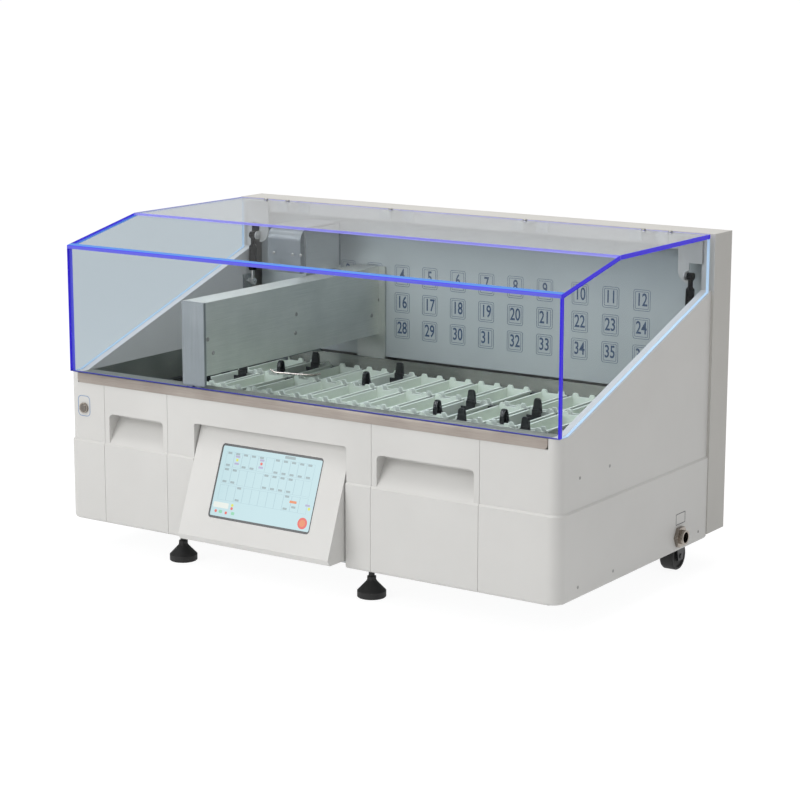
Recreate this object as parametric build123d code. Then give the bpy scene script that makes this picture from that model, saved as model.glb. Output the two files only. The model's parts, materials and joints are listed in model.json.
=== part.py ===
from build123d import *
import os
from math import atan2, cos, degrees, hypot, radians, sin, tan

# Bench slide stainer: a moulded casing on two levelling feet and two rear wheels, a steel wash
# tub with three rows of twelve baths, and a belt-driven arm that lifts slide racks from bath to
# bath under a clear hinged hood. Millimetres. X runs to the right, Y to the back, Z up.
# Sizes are worked in a frame with X = 0 in the middle of the casing, Y = 0 on the front face of
# its lower half and Z = 0 on the bench. The last step moves everything so that the origin is the
# centre of the bounding box, on the bench.

# Casing
body_width = 1200.0
body_depth = 604.0
foot_height = 67.0
casing_height = 315.0
ledge_height = 172.5
ledge_step = 3.5
corner_radius = 25.0
bottom_radius = 6.0
casing_wall = 4.0
side_width = 28.0
side_level_depth = 36.0
side_rear_height = 514.0
seam_gap = 0.8
return_depth = 12.0
return_wall = 3.0
left_corner_width = 100.0
left_drawer_width = 170.0
right_drawer_width = 246.0
right_corner_width = 175.0
fit_gap = 0.3

# Screen window and tilted bezel in the centre panel
window_left = -260.0
window_width = 380.0
window_height = 243.0
window_depth = 45.0
window_radius = 5.0
bezel_margin = 3.0
bezel_tilt = 20.7
bezel_top_back = 26.0
bezel_length = 232.0
bezel_wall = 3.0
bezel_back = 36.0
screen_width = 252.0
screen_length = 152.0
screen_radius = 7.0
screen_from_top = 36.0
screen_shift = 4.0
glass_thickness = 3.0
module_thickness = 14.0

# Drawers
scoop_margin = 12.0
scoop_height = 63.0
scoop_depth = 32.0
scoop_lip = 8.0
scoop_radius = 10.0
scoop_wall = 2.5
tray_floor_height = 17.0
tray_height = 104.0
tray_depth = 535.0
tray_sheet = 2.0
tray_flange = 5.4
bay_sheet = 2.0
bay_front = 75.0
bay_setback = 44.0
runner_height = 15.0

# Wash tub with its front trim
trim_height = 20.0
trim_proud = 1.5
tub_sheet = 1.5
tub_front = 48.0
tub_slot = 1.5
tub_floor_height = 169.0
tub_back_height = 283.0
tub_side_gap = 1.5

# Baths and the rails that carry them
bath_columns = 12
bath_rows = 3
bath_pitch = 73.6
bath_left_inset = 132.0
extra_gap_columns = (2, 9)
extra_gaps = (8.5, 11.0)
bath_width = 64.0
bath_length = 158.0
bath_front = 84.5
row_pitch = 170.0
rim_height = 267.0
rim_thickness = 4.0
rim_ledge = 3.0
bath_wall = 2.0
bath_depth = 82.0
bath_taper = 2.0
bump_height = 7.0
bump_width = 15.0
bump_depth = 9.0
rail_thickness = 8.0
side_rail_width = 13.0

# Slide racks, each hung by two black ears
rack_width = 46.0
rack_length = 124.0
rack_drop = 68.0
rack_bar = 3.0
rack_end_drop = 6.0
ear_width = 21.0
ear_top_width = 13.0
ear_thickness = 4.0
ear_height = 29.5
ear_top_radius = 5.0
ear_inset = 10.0
loop_reach = 8.0
loop_width = 9.0
loop_bar = 2.6
fixed_racks = ((1, 2), (11, 0))
lifting_racks = {"rack_rear": (4, 2), "rack_middle": (8, 1), "rack_front": (9, 0)}
plain_racks = ((0, 1), (10, 1))

# Rear column, back wall and rear panel
column_depth = 77.0
column_overhang = 2.0
column_bottom = 8.0
column_sheet = 2.0
header_height = 36.0
wall_setback = 36.0
wall_sheet = 2.0
wall_bottom_height = 289.0
vent_count = 9
vent_pitch = 12.0
vent_width = 90.0
vent_height = 4.0
inlet_x = 420.0
inlet_height = 60.0
inlet_width = 48.0
inlet_tall = 28.0

# Clear hood
hood_top_height = 629.0
hood_front_height = 582.3
hood_slope_end = 222.0
hood_inset = 5.0
hood_rear_gap = 8.3
acrylic = 8.0

# Hood hinges and gas struts
hinge_radius = 3.7
hinge_pin_radius = 2.0
pin_clearance = 0.05
hinge_places = (-452.0, -171.0, 171.0, 452.0)
knuckle_length = 30.0
leaf_sheet = 2.0
leaf_length = 25.0
strut_side_inset = 44.0
strut_top_setback = 16.0
strut_top_drop = 87.0
strut_foot_setback = 20.0
strut_foot_height = 439.0
strut_tube_radius = 9.0
strut_tube_start = 26.0
strut_tube_end = 80.0
strut_rod_radius = 4.0
strut_rod_insert = 51.0
strut_eye_radius = 8.0
strut_eye_width = 12.0
strut_pin_radius = 3.0
strut_swing_rise = 25.0
bracket_width = 54.0
bracket_flange_reach = 16.0
hood_screw_head_radius = 4.8
hood_screw_head_height = 3.0
hood_screw_radius = 2.5
hood_screw_inset = 14.0
bracket_sheet = 2.0
bracket_drop = 17.0
bracket_clearance = 1.0

# Arm that travels along X
arm_x = -297.0
arm_width = 58.0
arm_front = 15.0
arm_cap_thickness = 7.0
arm_cap_drop = 21.0
arm_bottom_height = 340.0
arm_tall = 150.0
arm_sheet = 1.5
arm_lip = 17.0
beam_width = 35.0
beam_bottom_inset = 17.0
beam_top_inset = 23.0
beam_wall = 4.0
beam_end_setback = 54.0
flange_thickness = 3.5
flange_extra = 17.0
rail_width = 12.0
rail_height = 7.0
belt_thickness = 1.5
belt_width = 6.0

# Lift unit that travels along Y on the arm
lift_length = 150.0
lift_left = -391.0
lift_top_drop = 41.0
lift_cover_tall = 93.0
lift_cover_radius = 25.0
lift_cover_lip = 24.0
lift_sheet = 1.5
column_reach = 50.0
motor_size = 42.0
motor_length = 40.0
screw_radius = 4.0
gripper_x = -363.0
column_bar = 24.0
hook_width = 35.0
hook_depth = 6.0
spine_width = 30.0
spine_thickness = 6.0
hook_lift = 2.5

# Rail and belt behind the back wall
rail_beam_setback = 12.0
rail_beam_depth = 24.0
rail_beam_bottom_height = 229.0
rail_beam_tall = 28.0
x_pulley_inset = 61.0
x_belt_height = 143.0
x_pulley_radius = 12.0
x_belt_width = 10.0

# Feet, rear wheels, switch and drain
foot_places = (-336.0, 144.0)
foot_y = 55.0
foot_pad_radius = 29.0
foot_neck_radius = 10.0
foot_rim_height = 15.0
foot_pad_height = 34.0
foot_nut_height = 8.0
foot_stem_radius = 6.0
boss_radius = 14.0
floor_sheet = 3.0
floor_front = 18.0
floor_height = 4.0
wheel_radius = 30.0
wheel_width = 30.0
wheel_side_inset = 58.0
wheel_setback = 33.0
axle_radius = 5.0
fork_sheet = 3.0
switch_side_inset = 44.0
switch_height = 241.0
switch_radius = 11.0
switch_bore_radius = 8.3
switch_barrel_radius = 9.5
plunger_radius = 8.0
drain_y = 482.0
drain_height = 30.0
drain_flange = 45.0
drain_flange_thickness = 8.0
drain_radius = 14.5
drain_bore_radius = 11.0
drain_reach = 16.0
drain_pipe_radius = 12.0
drain_pipe_inset = 65.0
drain_bend_radius = 28.0

# Places that follow from the sizes above
half_width = body_width / 2
body_bottom = foot_height
body_top = body_bottom + casing_height
ledge_z = body_bottom + ledge_height
inner_half = half_width - side_width
trim_bottom = body_top - trim_height
hood_top = body_bottom + hood_top_height
hood_front_top = body_bottom + hood_front_height
column_back = body_depth + column_depth
wall_y = body_depth + wall_setback
tub_back = wall_y + tub_slot
rail_beam_front = wall_y + rail_beam_setback
bay_back = body_depth - bay_setback
bath_left = bath_left_inset - half_width
drain_pipe_x = half_width - drain_pipe_inset
x_pulley_x = half_width - x_pulley_inset
wheel_x = half_width - wheel_side_inset
wheel_y = body_depth - wheel_setback
switch_x = switch_side_inset - half_width
strut_x = half_width - strut_side_inset
strut_top_y = body_depth - strut_top_setback
strut_foot_y = body_depth - strut_foot_setback
strut_top_height = hood_top_height - strut_top_drop
bracket_bottom_height = strut_top_height - bracket_drop
lift_top_height = hood_top_height - lift_top_drop
lift_cover_bottom_height = lift_top_height - lift_cover_tall
lift_centre_y = bath_front + 2 * row_pitch + bath_length / 2
rim_top = body_bottom + rim_height
rim_bottom = rim_top - rim_thickness
tub_half = inner_half - tub_side_gap
tub_floor = body_bottom + tub_floor_height
floor_bottom = body_bottom + floor_height
floor_top = floor_bottom + floor_sheet
seam_1 = -half_width + left_corner_width
seam_2 = seam_1 + left_drawer_width
seam_4 = half_width - right_corner_width
seam_3 = seam_4 - right_drawer_width
arm_right = arm_x + arm_width
arm_bottom = body_bottom + arm_bottom_height
arm_top = arm_bottom + arm_tall
beam_right = arm_right - 7.0
beam_left = beam_right - beam_width
beam_bottom = arm_bottom + beam_bottom_inset
beam_top = arm_top - beam_top_inset
arm_back = wall_y - 6.0
beam_end = arm_back - beam_end_setback
bezel_top_z = body_bottom + window_height
bezel_front = bezel_top_back - bezel_length * sin(radians(bezel_tilt))
bezel_bottom_z = bezel_top_z - bezel_length * cos(radians(bezel_tilt))
slope_angle = atan2(hood_top - hood_front_top, hood_slope_end - hood_inset)


def block(x0, x1, y0, y1, z0, z1):
    """Box between two corners."""
    return Pos(x0, y0, z0) * Box(x1 - x0, y1 - y0, z1 - z0, align=(Align.MIN,) * 3)


def yz_slab(points, x0, x1):
    """Prism of a side profile, from x0 to x1."""
    return extrude(Plane.YZ.offset(x0) * make_face(Polyline(*points, close=True)), x1 - x0)


def xz_slab(sketch, y0, y1):
    """Prism of a front profile, from y0 to y1."""
    return extrude(Plane.XZ.offset(-y1) * sketch, y1 - y0)


def post(x, y, z0, z1, radius):
    """Round bar along Z."""
    return Pos(x, y, z0) * extrude(Circle(radius), z1 - z0)


def axle(y, z, x0, x1, radius):
    """Round bar along X."""
    return extrude(Plane.YZ.offset(x0) * (Pos(y, z) * Circle(radius)), x1 - x0)


def stud(x, z, y0, y1, radius):
    """Round bar along Y."""
    return xz_slab(Pos(x, z) * Circle(radius), y0, y1)


def group(pieces):
    """Separate solids that share one node."""
    return Compound(list(pieces))


def mirrored(piece):
    """The same piece on the other side of the machine."""
    return piece.mirror(Plane.YZ)


# Casing


def side_profile(drop):
    """Side outline of the casing, its top lowered by drop."""
    top = body_top - drop
    rear = body_bottom + side_rear_height - drop
    low = body_bottom - drop
    return [(-1, low), (body_depth, low), (body_depth, rear), (side_level_depth, top), (-1, top)]


def plan_block(inset, z0, z1):
    """Casing plan with its two rounded front corners, drawn in by inset."""
    x = half_width - inset
    body = block(-x, x, inset, body_depth, z0, z1)
    corners = body.edges().filter_by(Axis.Z).sort_by(Axis.Y)[:2]
    return fillet(corners, corner_radius - inset)


def casing_form(inset):
    """Whole outer form: a lower half that stands proud, and an upper half with sloping sides."""
    low = body_bottom - (1 if inset else 0)
    lower = plan_block(inset, low, ledge_z - inset)
    lower_top = lower.faces().sort_by(Axis.Z)[-1].edges()
    lower = chamfer(lower_top.filter_by(lambda edge: edge.center().Y < body_depth - 1), ledge_step)
    if not inset:
        rim = lower.faces().sort_by(Axis.Z)[0].edges()
        rim = rim.filter_by(lambda edge: edge.center().Y < body_depth - 1)
        lower = fillet(rim, bottom_radius)
    upper = plan_block(inset + ledge_step, low, body_bottom + side_rear_height)
    upper = upper & yz_slab(side_profile(inset), -half_width, half_width)
    if not inset:
        return lower + upper
    skirt = block(-half_width + inset, half_width - inset, inset, body_depth + 1, low - 1, low + 2)
    whole = lower + upper + skirt
    return whole - block(-half_width, half_width, body_depth, body_depth + 2, low, low + 3)


def casing_shell():
    """Hollow casing with its front lowered under the trim and its middle open for the tub."""
    shell = casing_form(0) - casing_form(casing_wall)
    shell -= block(-inner_half, inner_half, -1, body_depth + 1, trim_bottom - 0.4, hood_top)
    return shell


def seam_return(x, side, z1):
    """Inward flange along the edge of a front panel."""
    x0, x1 = sorted((x, x + side * return_wall))
    return block(x0, x1, casing_wall, casing_wall + return_depth, floor_top + 1, z1)


def casing_side(shell, x_edge, side):
    """Left (side -1) or right (side 1) casing: corner of the front and the whole side wall."""
    edge = x_edge + side * seam_gap / 2
    far = side * (half_width + 50)
    half = block(min(edge, far), max(edge, far), -5, body_depth, 0, hood_top)
    inner = casing_form(0) & block(
        min(side * inner_half, side * (inner_half + casing_wall)),
        max(side * inner_half, side * (inner_half + casing_wall)),
        side_level_depth, body_depth, rim_bottom + 15, hood_top)
    return (shell & half) + inner + seam_return(edge, side, trim_bottom - 6)


def left_casing(shell):
    casing = casing_side(shell, seam_1, -1)
    hole = stud(switch_x, body_bottom + switch_height, -5, 20, switch_barrel_radius + fit_gap)
    return casing - hole


def right_casing(shell):
    casing = casing_side(shell, seam_4, 1)
    hole = axle(drain_y, body_bottom + drain_height, half_width - 20, half_width + 5,
                drain_radius + fit_gap)
    return casing - hole


def centre_panel(shell):
    """Front panel with a deep window, open downwards, that the screen leans out of."""
    x0 = seam_2 + seam_gap / 2
    x1 = seam_3 - seam_gap / 2
    w0 = window_left
    w1 = window_left + window_width
    top = body_bottom + window_height
    low = floor_top + fit_gap
    panel = shell & block(x0, x1, -5, 60, 0, hood_top)
    panel += seam_return(x0, 1, trim_bottom - 6) + seam_return(x1, -1, trim_bottom - 6)
    panel += block(w0 - return_wall, w1 + return_wall, casing_wall, window_depth, low,
                   top + return_wall)
    opening = block(w0, w1, -5, window_depth + 1, 0, top)
    return panel - fillet(opening.edges().filter_by(Axis.Y).sort_by(Axis.Z)[-2:], window_radius)


def bezel_plane():
    """Plane on the tilted face of the bezel: x across, y up the slope, z out of it."""
    a = radians(bezel_tilt)
    middle = window_left + window_width / 2
    return Plane(origin=(middle, bezel_top_back, bezel_top_z), x_dir=(1, 0, 0),
                 z_dir=(0, -cos(a), sin(a)))


def screen_outline(grow):
    """Rounded outline of the cover glass on the bezel plane, grown by grow."""
    centre = -screen_from_top - screen_length / 2
    size = (screen_width + 2 * grow, screen_length + 2 * grow)
    return Pos(screen_shift, centre) * RectangleRounded(*size, screen_radius + grow)


def screen_bezel():
    """Wedge-shaped moulded housing that leans forward out of the window."""
    x0 = window_left + bezel_margin
    x1 = window_left + window_width - bezel_margin
    top = bezel_top_z - fit_gap
    shift = fit_gap * tan(radians(bezel_tilt))
    outer = [(bezel_top_back - shift, top), (bezel_front, bezel_bottom_z),
             (bezel_front + 6, bezel_bottom_z - 12),
             (bezel_back, bezel_bottom_z - 12), (bezel_back, top)]
    body = yz_slab(outer, x0, x1)
    front = body.faces().sort_by(Axis.Y)[0].edges().filter_by(Axis.X).sort_by(Axis.Z)[0]
    body = fillet(front, bezel_wall)
    depth = bezel_wall / cos(radians(bezel_tilt))
    inner = [(bezel_top_back - shift + depth, top - bezel_wall),
             (bezel_front + 3 + depth, bezel_bottom_z),
             (bezel_front + 12, bezel_bottom_z - 12 + bezel_wall),
             (bezel_back + 1, bezel_bottom_z - 12 + bezel_wall), (bezel_back + 1, top - bezel_wall)]
    body -= yz_slab(inner, x0 + bezel_wall, x1 - bezel_wall)
    seat = extrude(bezel_plane() * screen_outline(fit_gap), -20)
    lip = extrude(bezel_plane().offset(-glass_thickness - fit_gap) * screen_outline(-5), -20)
    frame = extrude(bezel_plane().offset(-glass_thickness - fit_gap) * screen_outline(6), -3)
    return body - seat + (frame - lip)


def touch_screen():
    """Cover glass set into the bezel, with the display module behind it."""
    glass = extrude(bezel_plane() * screen_outline(0), -glass_thickness)
    back = bezel_plane().offset(-glass_thickness)
    module = extrude(back * screen_outline(-6), -module_thickness)
    return group([glass, module])


def drawer_front(shell, x_left, x_right):
    """Drawer front with a scooped pull that is deepest and undercut at its top."""
    x0 = x_left + seam_gap / 2
    x1 = x_right - seam_gap / 2
    a = x0 + scoop_margin
    b = x1 - scoop_margin
    top = ledge_z + scoop_height
    y_face = ledge_step
    deep = y_face + scoop_depth
    front = shell & block(x0, x1, -5, 60, 0, hood_top)
    front += seam_return(x0, 1, trim_bottom - 6) + seam_return(x1, -1, trim_bottom - 6)
    ramp = [(-1, ledge_z), (y_face, ledge_z), (deep, top - 12), (deep, top), (-1, top)]
    mouth = Pos((a + b) / 2, top - scoop_height) * RectangleRounded(b - a, 2 * scoop_height,
                                                                    scoop_radius)
    undercut = block(a + scoop_radius, b - scoop_radius, y_face + casing_wall, deep, top - 12,
                     top + scoop_lip)
    void = (yz_slab(ramp, a, b) & xz_slab(mouth, -2, deep + 1)) + undercut
    w = scoop_wall
    cup = [(casing_wall, ledge_z - w), (y_face + w, ledge_z - w), (deep + w, top - 12 - w),
           (deep + w, top + scoop_lip + w), (casing_wall, top + scoop_lip + w)]
    return front + yz_slab(cup, a - w, b + w) - void


def drawer_tray(x_left, x_right):
    """Folded steel tray with side flanges that slide on the runners."""
    x0 = x_left + bay_sheet / 2 + tray_flange + 0.6
    x1 = x_right - bay_sheet / 2 - tray_flange - 0.6
    y0 = casing_wall + fit_gap
    y1 = y0 + tray_depth
    z0 = body_bottom + tray_floor_height
    z1 = z0 + tray_height
    s = tray_sheet
    tray = block(x0, x1, y0, y1, z0, z1) - block(x0 + s, x1 - s, y0 + s, y1 - s, z0 + s, z1 + 1)
    tray += block(x0 - tray_flange, x0 + s, y0 + return_depth + 2, y1, z1 - s, z1)
    return tray + block(x1 - s, x1 + tray_flange, y0 + return_depth + 2, y1, z1 - s, z1)


def drawer_runners():
    """Bars on the bay walls that carry the tray flanges."""
    bars = []
    top = body_bottom + tray_floor_height + tray_height - tray_sheet - fit_gap
    for left, right in ((seam_1, seam_2), (seam_3, seam_4)):
        for x, side in ((left, 1), (right, -1)):
            x0 = x + side * bay_sheet / 2
            x1 = x0 + side * (tray_flange - 0.6)
            bars.append(block(min(x0, x1), max(x0, x1), bay_front + 5, bay_back - 5,
                              top - runner_height, top))
    return group(bars)


def base_frame():
    """Floor plate with bosses that the levelling feet screw into."""
    x = half_width - casing_wall - fit_gap
    frame = block(-x, x, floor_front, body_depth - casing_wall, floor_bottom, floor_top)
    frame = chamfer(frame.edges().filter_by(Axis.Z).sort_by(Axis.Y)[:2], 2 * return_wall)
    for place in foot_places:
        frame += post(place, foot_y, body_bottom - 3, floor_top + 8, boss_radius)
    for place in foot_places:
        frame -= post(place, foot_y, body_bottom - 10, floor_top + 20, foot_stem_radius + pin_clearance)
    return frame


def bay_panels():
    """Drawer bay walls under the tub, and posts beside it that carry the casing sides."""
    walls = []
    for x in (seam_1, seam_2, seam_3, seam_4):
        walls.append(block(x - bay_sheet / 2, x + bay_sheet / 2, bay_front, bay_back, floor_top,
                           tub_floor - fit_gap))
    for side in (-1, 1):
        for y in (tub_front + 12, bay_back - 15):
            x0, x1 = sorted((side * (inner_half + 1.0), side * (inner_half + 20.0)))
            walls.append(block(x0, x1, y, y + 20, floor_top, rim_bottom + 15 - fit_gap))
    return group(walls)


# Tub and baths


def wash_tub():
    """Folded steel tub. Its front edge is the bright trim that the hood closes on."""
    s = tub_sheet
    top = body_top
    y_trim = ledge_step - trim_proud
    tub = block(-tub_half, tub_half, tub_front, tub_back, tub_floor, top)
    tub -= block(-tub_half + s, tub_half - s, tub_front + s, tub_back - s, tub_floor + s, top + 1)
    tub -= block(-tub_half - 1, tub_half + 1, tub_back - s - 0.5, tub_back + 1,
                 body_bottom + tub_back_height, top + 1)
    flange = block(-inner_half + 0.5, inner_half - 0.5, y_trim, tub_front + s, top - s, top)
    face = block(-inner_half + 0.5, inner_half - 0.5, y_trim, y_trim + s, trim_bottom, top)
    corners = face.edges().filter_by(Axis.Y).sort_by(Axis.Z)[:2]
    face = fillet(corners, 8)
    drain = post(drain_pipe_x, drain_y, tub_floor - 1, tub_floor + s + 1, drain_pipe_radius - 2)
    return tub + flange + face - drain


def bath_x(column):
    """Left edge of a bath column, counted from 0."""
    extra = sum(gap for after, gap in zip(extra_gap_columns, extra_gaps) if column >= after)
    return bath_left + column * bath_pitch + extra


def bath_y(row):
    """Front edge of a bath row, counted from 0 at the front."""
    return bath_front + row * row_pitch


def tapered(x0, x1, y0, y1, z_top, height):
    """Box that narrows downwards by the bath taper on every side."""
    angle = degrees(atan2(bath_taper, height))
    face = Pos((x0 + x1) / 2, (y0 + y1) / 2, z_top) * Rectangle(x1 - x0, y1 - y0)
    return extrude(face, -height, taper=angle)


def bath(column, row):
    """One bath: tapered walls, a flat rim and a pair of raised stops at each end."""
    x0 = bath_x(column)
    x1 = x0 + bath_width
    y0 = bath_y(row)
    y1 = y0 + bath_length
    ledge = rim_ledge
    wall = bath_wall
    body = block(x0, x1, y0, y1, rim_bottom, rim_top)
    body += tapered(x0 + ledge, x1 - ledge, y0 + ledge, y1 - ledge, rim_bottom, bath_depth)
    middle = (x0 + x1) / 2
    for side in (-1, 1):
        c = middle + side * (ear_width / 2 + 2 + bump_width / 2)
        half = bump_width / 2
        tooth = Polygon((c - half, rim_top), (c + half, rim_top), (c + half - 3, rim_top + bump_height),
                        (c - half + 3, rim_top + bump_height))
        body += xz_slab(tooth, y0, y0 + bump_depth) + xz_slab(tooth, y1 - bump_depth, y1)
    inset = ledge + wall
    void = tapered(x0 + inset, x1 - inset, y0 + inset, y1 - inset, rim_top + 0.1,
                   rim_thickness + bath_depth - wall)
    return body - void - block(x0 + inset, x1 - inset, y0 + inset, y1 - inset, rim_top,
                               rim_top + bump_height + 1)


def bath_row(row):
    """The twelve baths of one row."""
    return group(bath(column, row) for column in range(bath_columns))


def bath_carrier():
    """Black rails across the tub that the bath rims hang on, with a bar at each end."""
    x = tub_half - tub_sheet - fit_gap
    last = bath_rows - 1
    edges = [(bath_y(0) - 12, bath_y(0) + rim_ledge - fit_gap)]
    for row in range(last):
        edges.append((bath_y(row) + bath_length - rim_ledge + fit_gap,
                      bath_y(row + 1) + rim_ledge - fit_gap))
    edges.append((bath_y(last) + bath_length - rim_ledge + fit_gap, bath_y(last) + bath_length + 12))
    rails = [block(-x, x, y0, y1, rim_bottom - rail_thickness, rim_bottom) for y0, y1 in edges]
    for side in (-1, 1):
        x0, x1 = sorted((side * x, side * (x - side_rail_width)))
        z1 = rim_bottom - rail_thickness
        rails.append(block(x0, x1, edges[0][0], edges[-1][1], z1 - rail_thickness, z1))
    return group(rails)


def ear(x, y, out):
    """Tapered ear on the outer face of a rack end, with a lifting loop that bends outwards."""
    z0 = rim_top + fit_gap
    z1 = z0 + ear_height
    half = ear_width / 2
    tip = ear_top_width / 2
    plate = make_face(Polyline((x - half, z0), (x + half, z0), (x + half, z0 + rack_end_drop),
                               (x + tip, z1),
                               (x - tip, z1), (x - half, z0 + rack_end_drop), close=True))
    plate = fillet(plate.vertices().sort_by(Axis.Y)[-2:], ear_top_radius)
    face = y + out * ear_thickness
    body = xz_slab(plate, min(y, face), max(y, face))
    reach = face + out * loop_reach
    shoulder = face + out * loop_reach * 0.7
    hook = make_face(Polyline((face, z0), (reach, z0), (reach, z0 + ear_height * 0.55),
                              (shoulder, z0 + ear_height * 0.85),
                              (face, z1 - 2), close=True))
    loop = Plane.YZ.offset(x - loop_width / 2) * (hook - offset(hook, -loop_bar))
    return body + extrude(loop, loop_width)


def rack(column, row):
    """Slide rack: two end plates joined by bars, hung by an ear with a loop at each end."""
    x = bath_x(column) + bath_width / 2
    y0 = bath_y(row) + ear_inset + ear_thickness / 2
    y1 = y0 + rack_length
    z1 = rim_top + fit_gap
    z0 = z1 - rack_drop
    half = rack_width / 2
    neck = ear_width / 2
    bar = rack_bar
    body = None
    for y, out in ((y0, -1), (y1, 1)):
        inner = y - out * bar
        a, b = sorted((y, inner))
        plate = block(x - half, x + half, a, b, z0, z1 - rack_end_drop)
        plate += block(x - neck, x + neck, a, b, z1 - rack_end_drop, z1 + rack_end_drop)
        piece = plate + ear(x, y, out)
        body = piece if body is None else body + piece
    for side in (-1, 1):
        a, b = sorted((x + side * half, x + side * (half - bar)))
        for z in (z0, z0 + rack_drop / 2):
            body += block(a, b, y0, y1, z, z + 2 * bar)
    return body


def wire_handle():
    """Bent wire lifting handle that lies on the bath rims."""
    x0 = gripper_x - 4
    y = bath_y(2) - 24
    z = rim_top + 2.4
    z_top = rim_top + bump_height + 2.4
    path = FilletPolyline((x0, y, z_top + 5), (x0 + 14, y - 2, z_top), (x0 + 60, y + 8, z_top),
                          (x0 + 104, y + 20, z_top),
                          (x0 + 118, y + 27, z_top + 4), radius=6)
    return sweep(Plane(path @ 0, z_dir=path % 0) * Circle(2.0), path)


# Column at the back


def column_cover():
    """Sheet steel column: sides, top and a folded header above the back wall."""
    s = column_sheet
    x = half_width + column_overhang
    low = body_bottom + column_bottom
    cover = block(-x, x, body_depth, column_back, low, hood_top)
    cover -= block(-x + s, x - s, body_depth + s, column_back + 1, low - 1, hood_top - s)
    cover -= block(-inner_half, inner_half, body_depth - 1, body_depth + s + 1, low - 1,
                   hood_top - header_height)
    return cover


def back_wall():
    """Painted wall behind the baths, with its lower edge folded back over the slot."""
    x = inner_half - 0.5
    z0 = body_bottom + wall_bottom_height
    wall = block(-x, x, wall_y, wall_y + wall_sheet, z0, hood_top - column_sheet - fit_gap)
    return wall + block(-x, x, wall_y, wall_y + 9, z0, z0 + wall_sheet)


def rear_panel():
    """Flat service panel with two louvre groups and a cut-out for the power inlet."""
    x = half_width + column_overhang - column_sheet - fit_gap
    z0 = body_bottom + column_bottom + 4
    z1 = hood_top - column_sheet - fit_gap
    panel = block(-x, x, column_back - column_sheet, column_back, z0, z1)
    for centre in (-300, 300):
        for i in range(vent_count):
            z = z1 - 120 - i * vent_pitch
            panel -= block(centre - vent_width / 2, centre + vent_width / 2, column_back - 5,
                           column_back + 1,
                           z, z + vent_height)
    z = body_bottom + inlet_height
    w = inlet_width / 2 - 4
    return panel - block(inlet_x - w, inlet_x + w, column_back - 5, column_back + 1, z - 12, z + 12)


def power_inlet():
    """Three-pin appliance inlet set in the rear panel, with its recess and pins."""
    z = body_bottom + inlet_height
    back = column_back - column_sheet
    flange = RectangleRounded(inlet_width, inlet_tall, 3)
    body = xz_slab(Pos(inlet_x, z) * flange, back - 2.5, back - 0.3)
    w = inlet_width / 2 - 4 - fit_gap
    body += block(inlet_x - w, inlet_x + w, back - 26, back + 1.5, z - 11.5, z + 11.5)
    socket = Pos(inlet_x, z) * RectangleRounded(27, 17, 4)
    body -= xz_slab(socket, back - 20, back + 2)
    for dx, dz in ((-7, -2), (0, 2), (7, -2)):
        body += block(inlet_x + dx - 1, inlet_x + dx + 1, back - 21, back - 4, z + dz - 2, z + dz + 2)
    return body


def x_rail():
    """Beam across the column with the linear rail on top of it."""
    x = half_width + column_overhang - column_sheet - fit_gap
    z0 = body_bottom + rail_beam_bottom_height
    z1 = z0 + rail_beam_tall
    y0 = rail_beam_front
    y1 = y0 + rail_beam_depth
    beam = block(-x, x, y0, y1, z0, z1) - block(-x - 1, x + 1, y0 + 3, y1 - 3, z0 + 3, z1 - 3)
    middle = (y0 + y1) / 2
    rail = block(-x + 40, x - 40, middle - rail_width / 2, middle + rail_width / 2, z1,
                 z1 + rail_height)
    return group([beam, rail])


def belt_loop(length, radius, width):
    """Closed belt round two pulleys, lying flat on the XY plane."""
    outer = SlotCenterToCenter(length, 2 * (radius + belt_thickness))
    inner = SlotCenterToCenter(length, 2 * radius)
    return extrude(outer - inner, width)


def pulley(radius, width):
    """Flanged belt pulley with a bore, standing on the XY plane."""
    flange = 1.2
    body = extrude(Circle(radius - 0.1), width)
    body += extrude(Circle(radius + 2.2), flange)
    body += Pos(0, 0, width - flange) * extrude(Circle(radius + 2.2), flange)
    return body - extrude(Circle(2.5), width)


def x_drive():
    """Motor, pulleys and belt that pull the arm along X."""
    z = body_bottom + x_belt_height
    y0 = rail_beam_front + 5
    turn = Rot(90, 0, 0)
    belt = Pos(0, y0 + x_belt_width + 2, z) * turn * belt_loop(2 * x_pulley_x, x_pulley_radius,
                                                               x_belt_width)
    pieces = [belt]
    beam_bottom_z = body_bottom + rail_beam_bottom_height
    for x in (-x_pulley_x, x_pulley_x):
        wheel = Pos(x, y0 + x_belt_width + 3.5, z) * turn * pulley(x_pulley_radius, x_belt_width + 3)
        plate = block(x - 26, x + 26, y0 - 2, y0, z - 21, beam_bottom_z)
        pieces.append(wheel + plate + stud(x, z, y0 - 1, y0 + x_belt_width + 3, 2.5))
    half = motor_size / 2
    pieces.append(block(-x_pulley_x - half, -x_pulley_x + half, y0 - 2 - motor_length, y0 - 2, z - half,
                        z + half))
    return group(pieces)


# Arm


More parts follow.
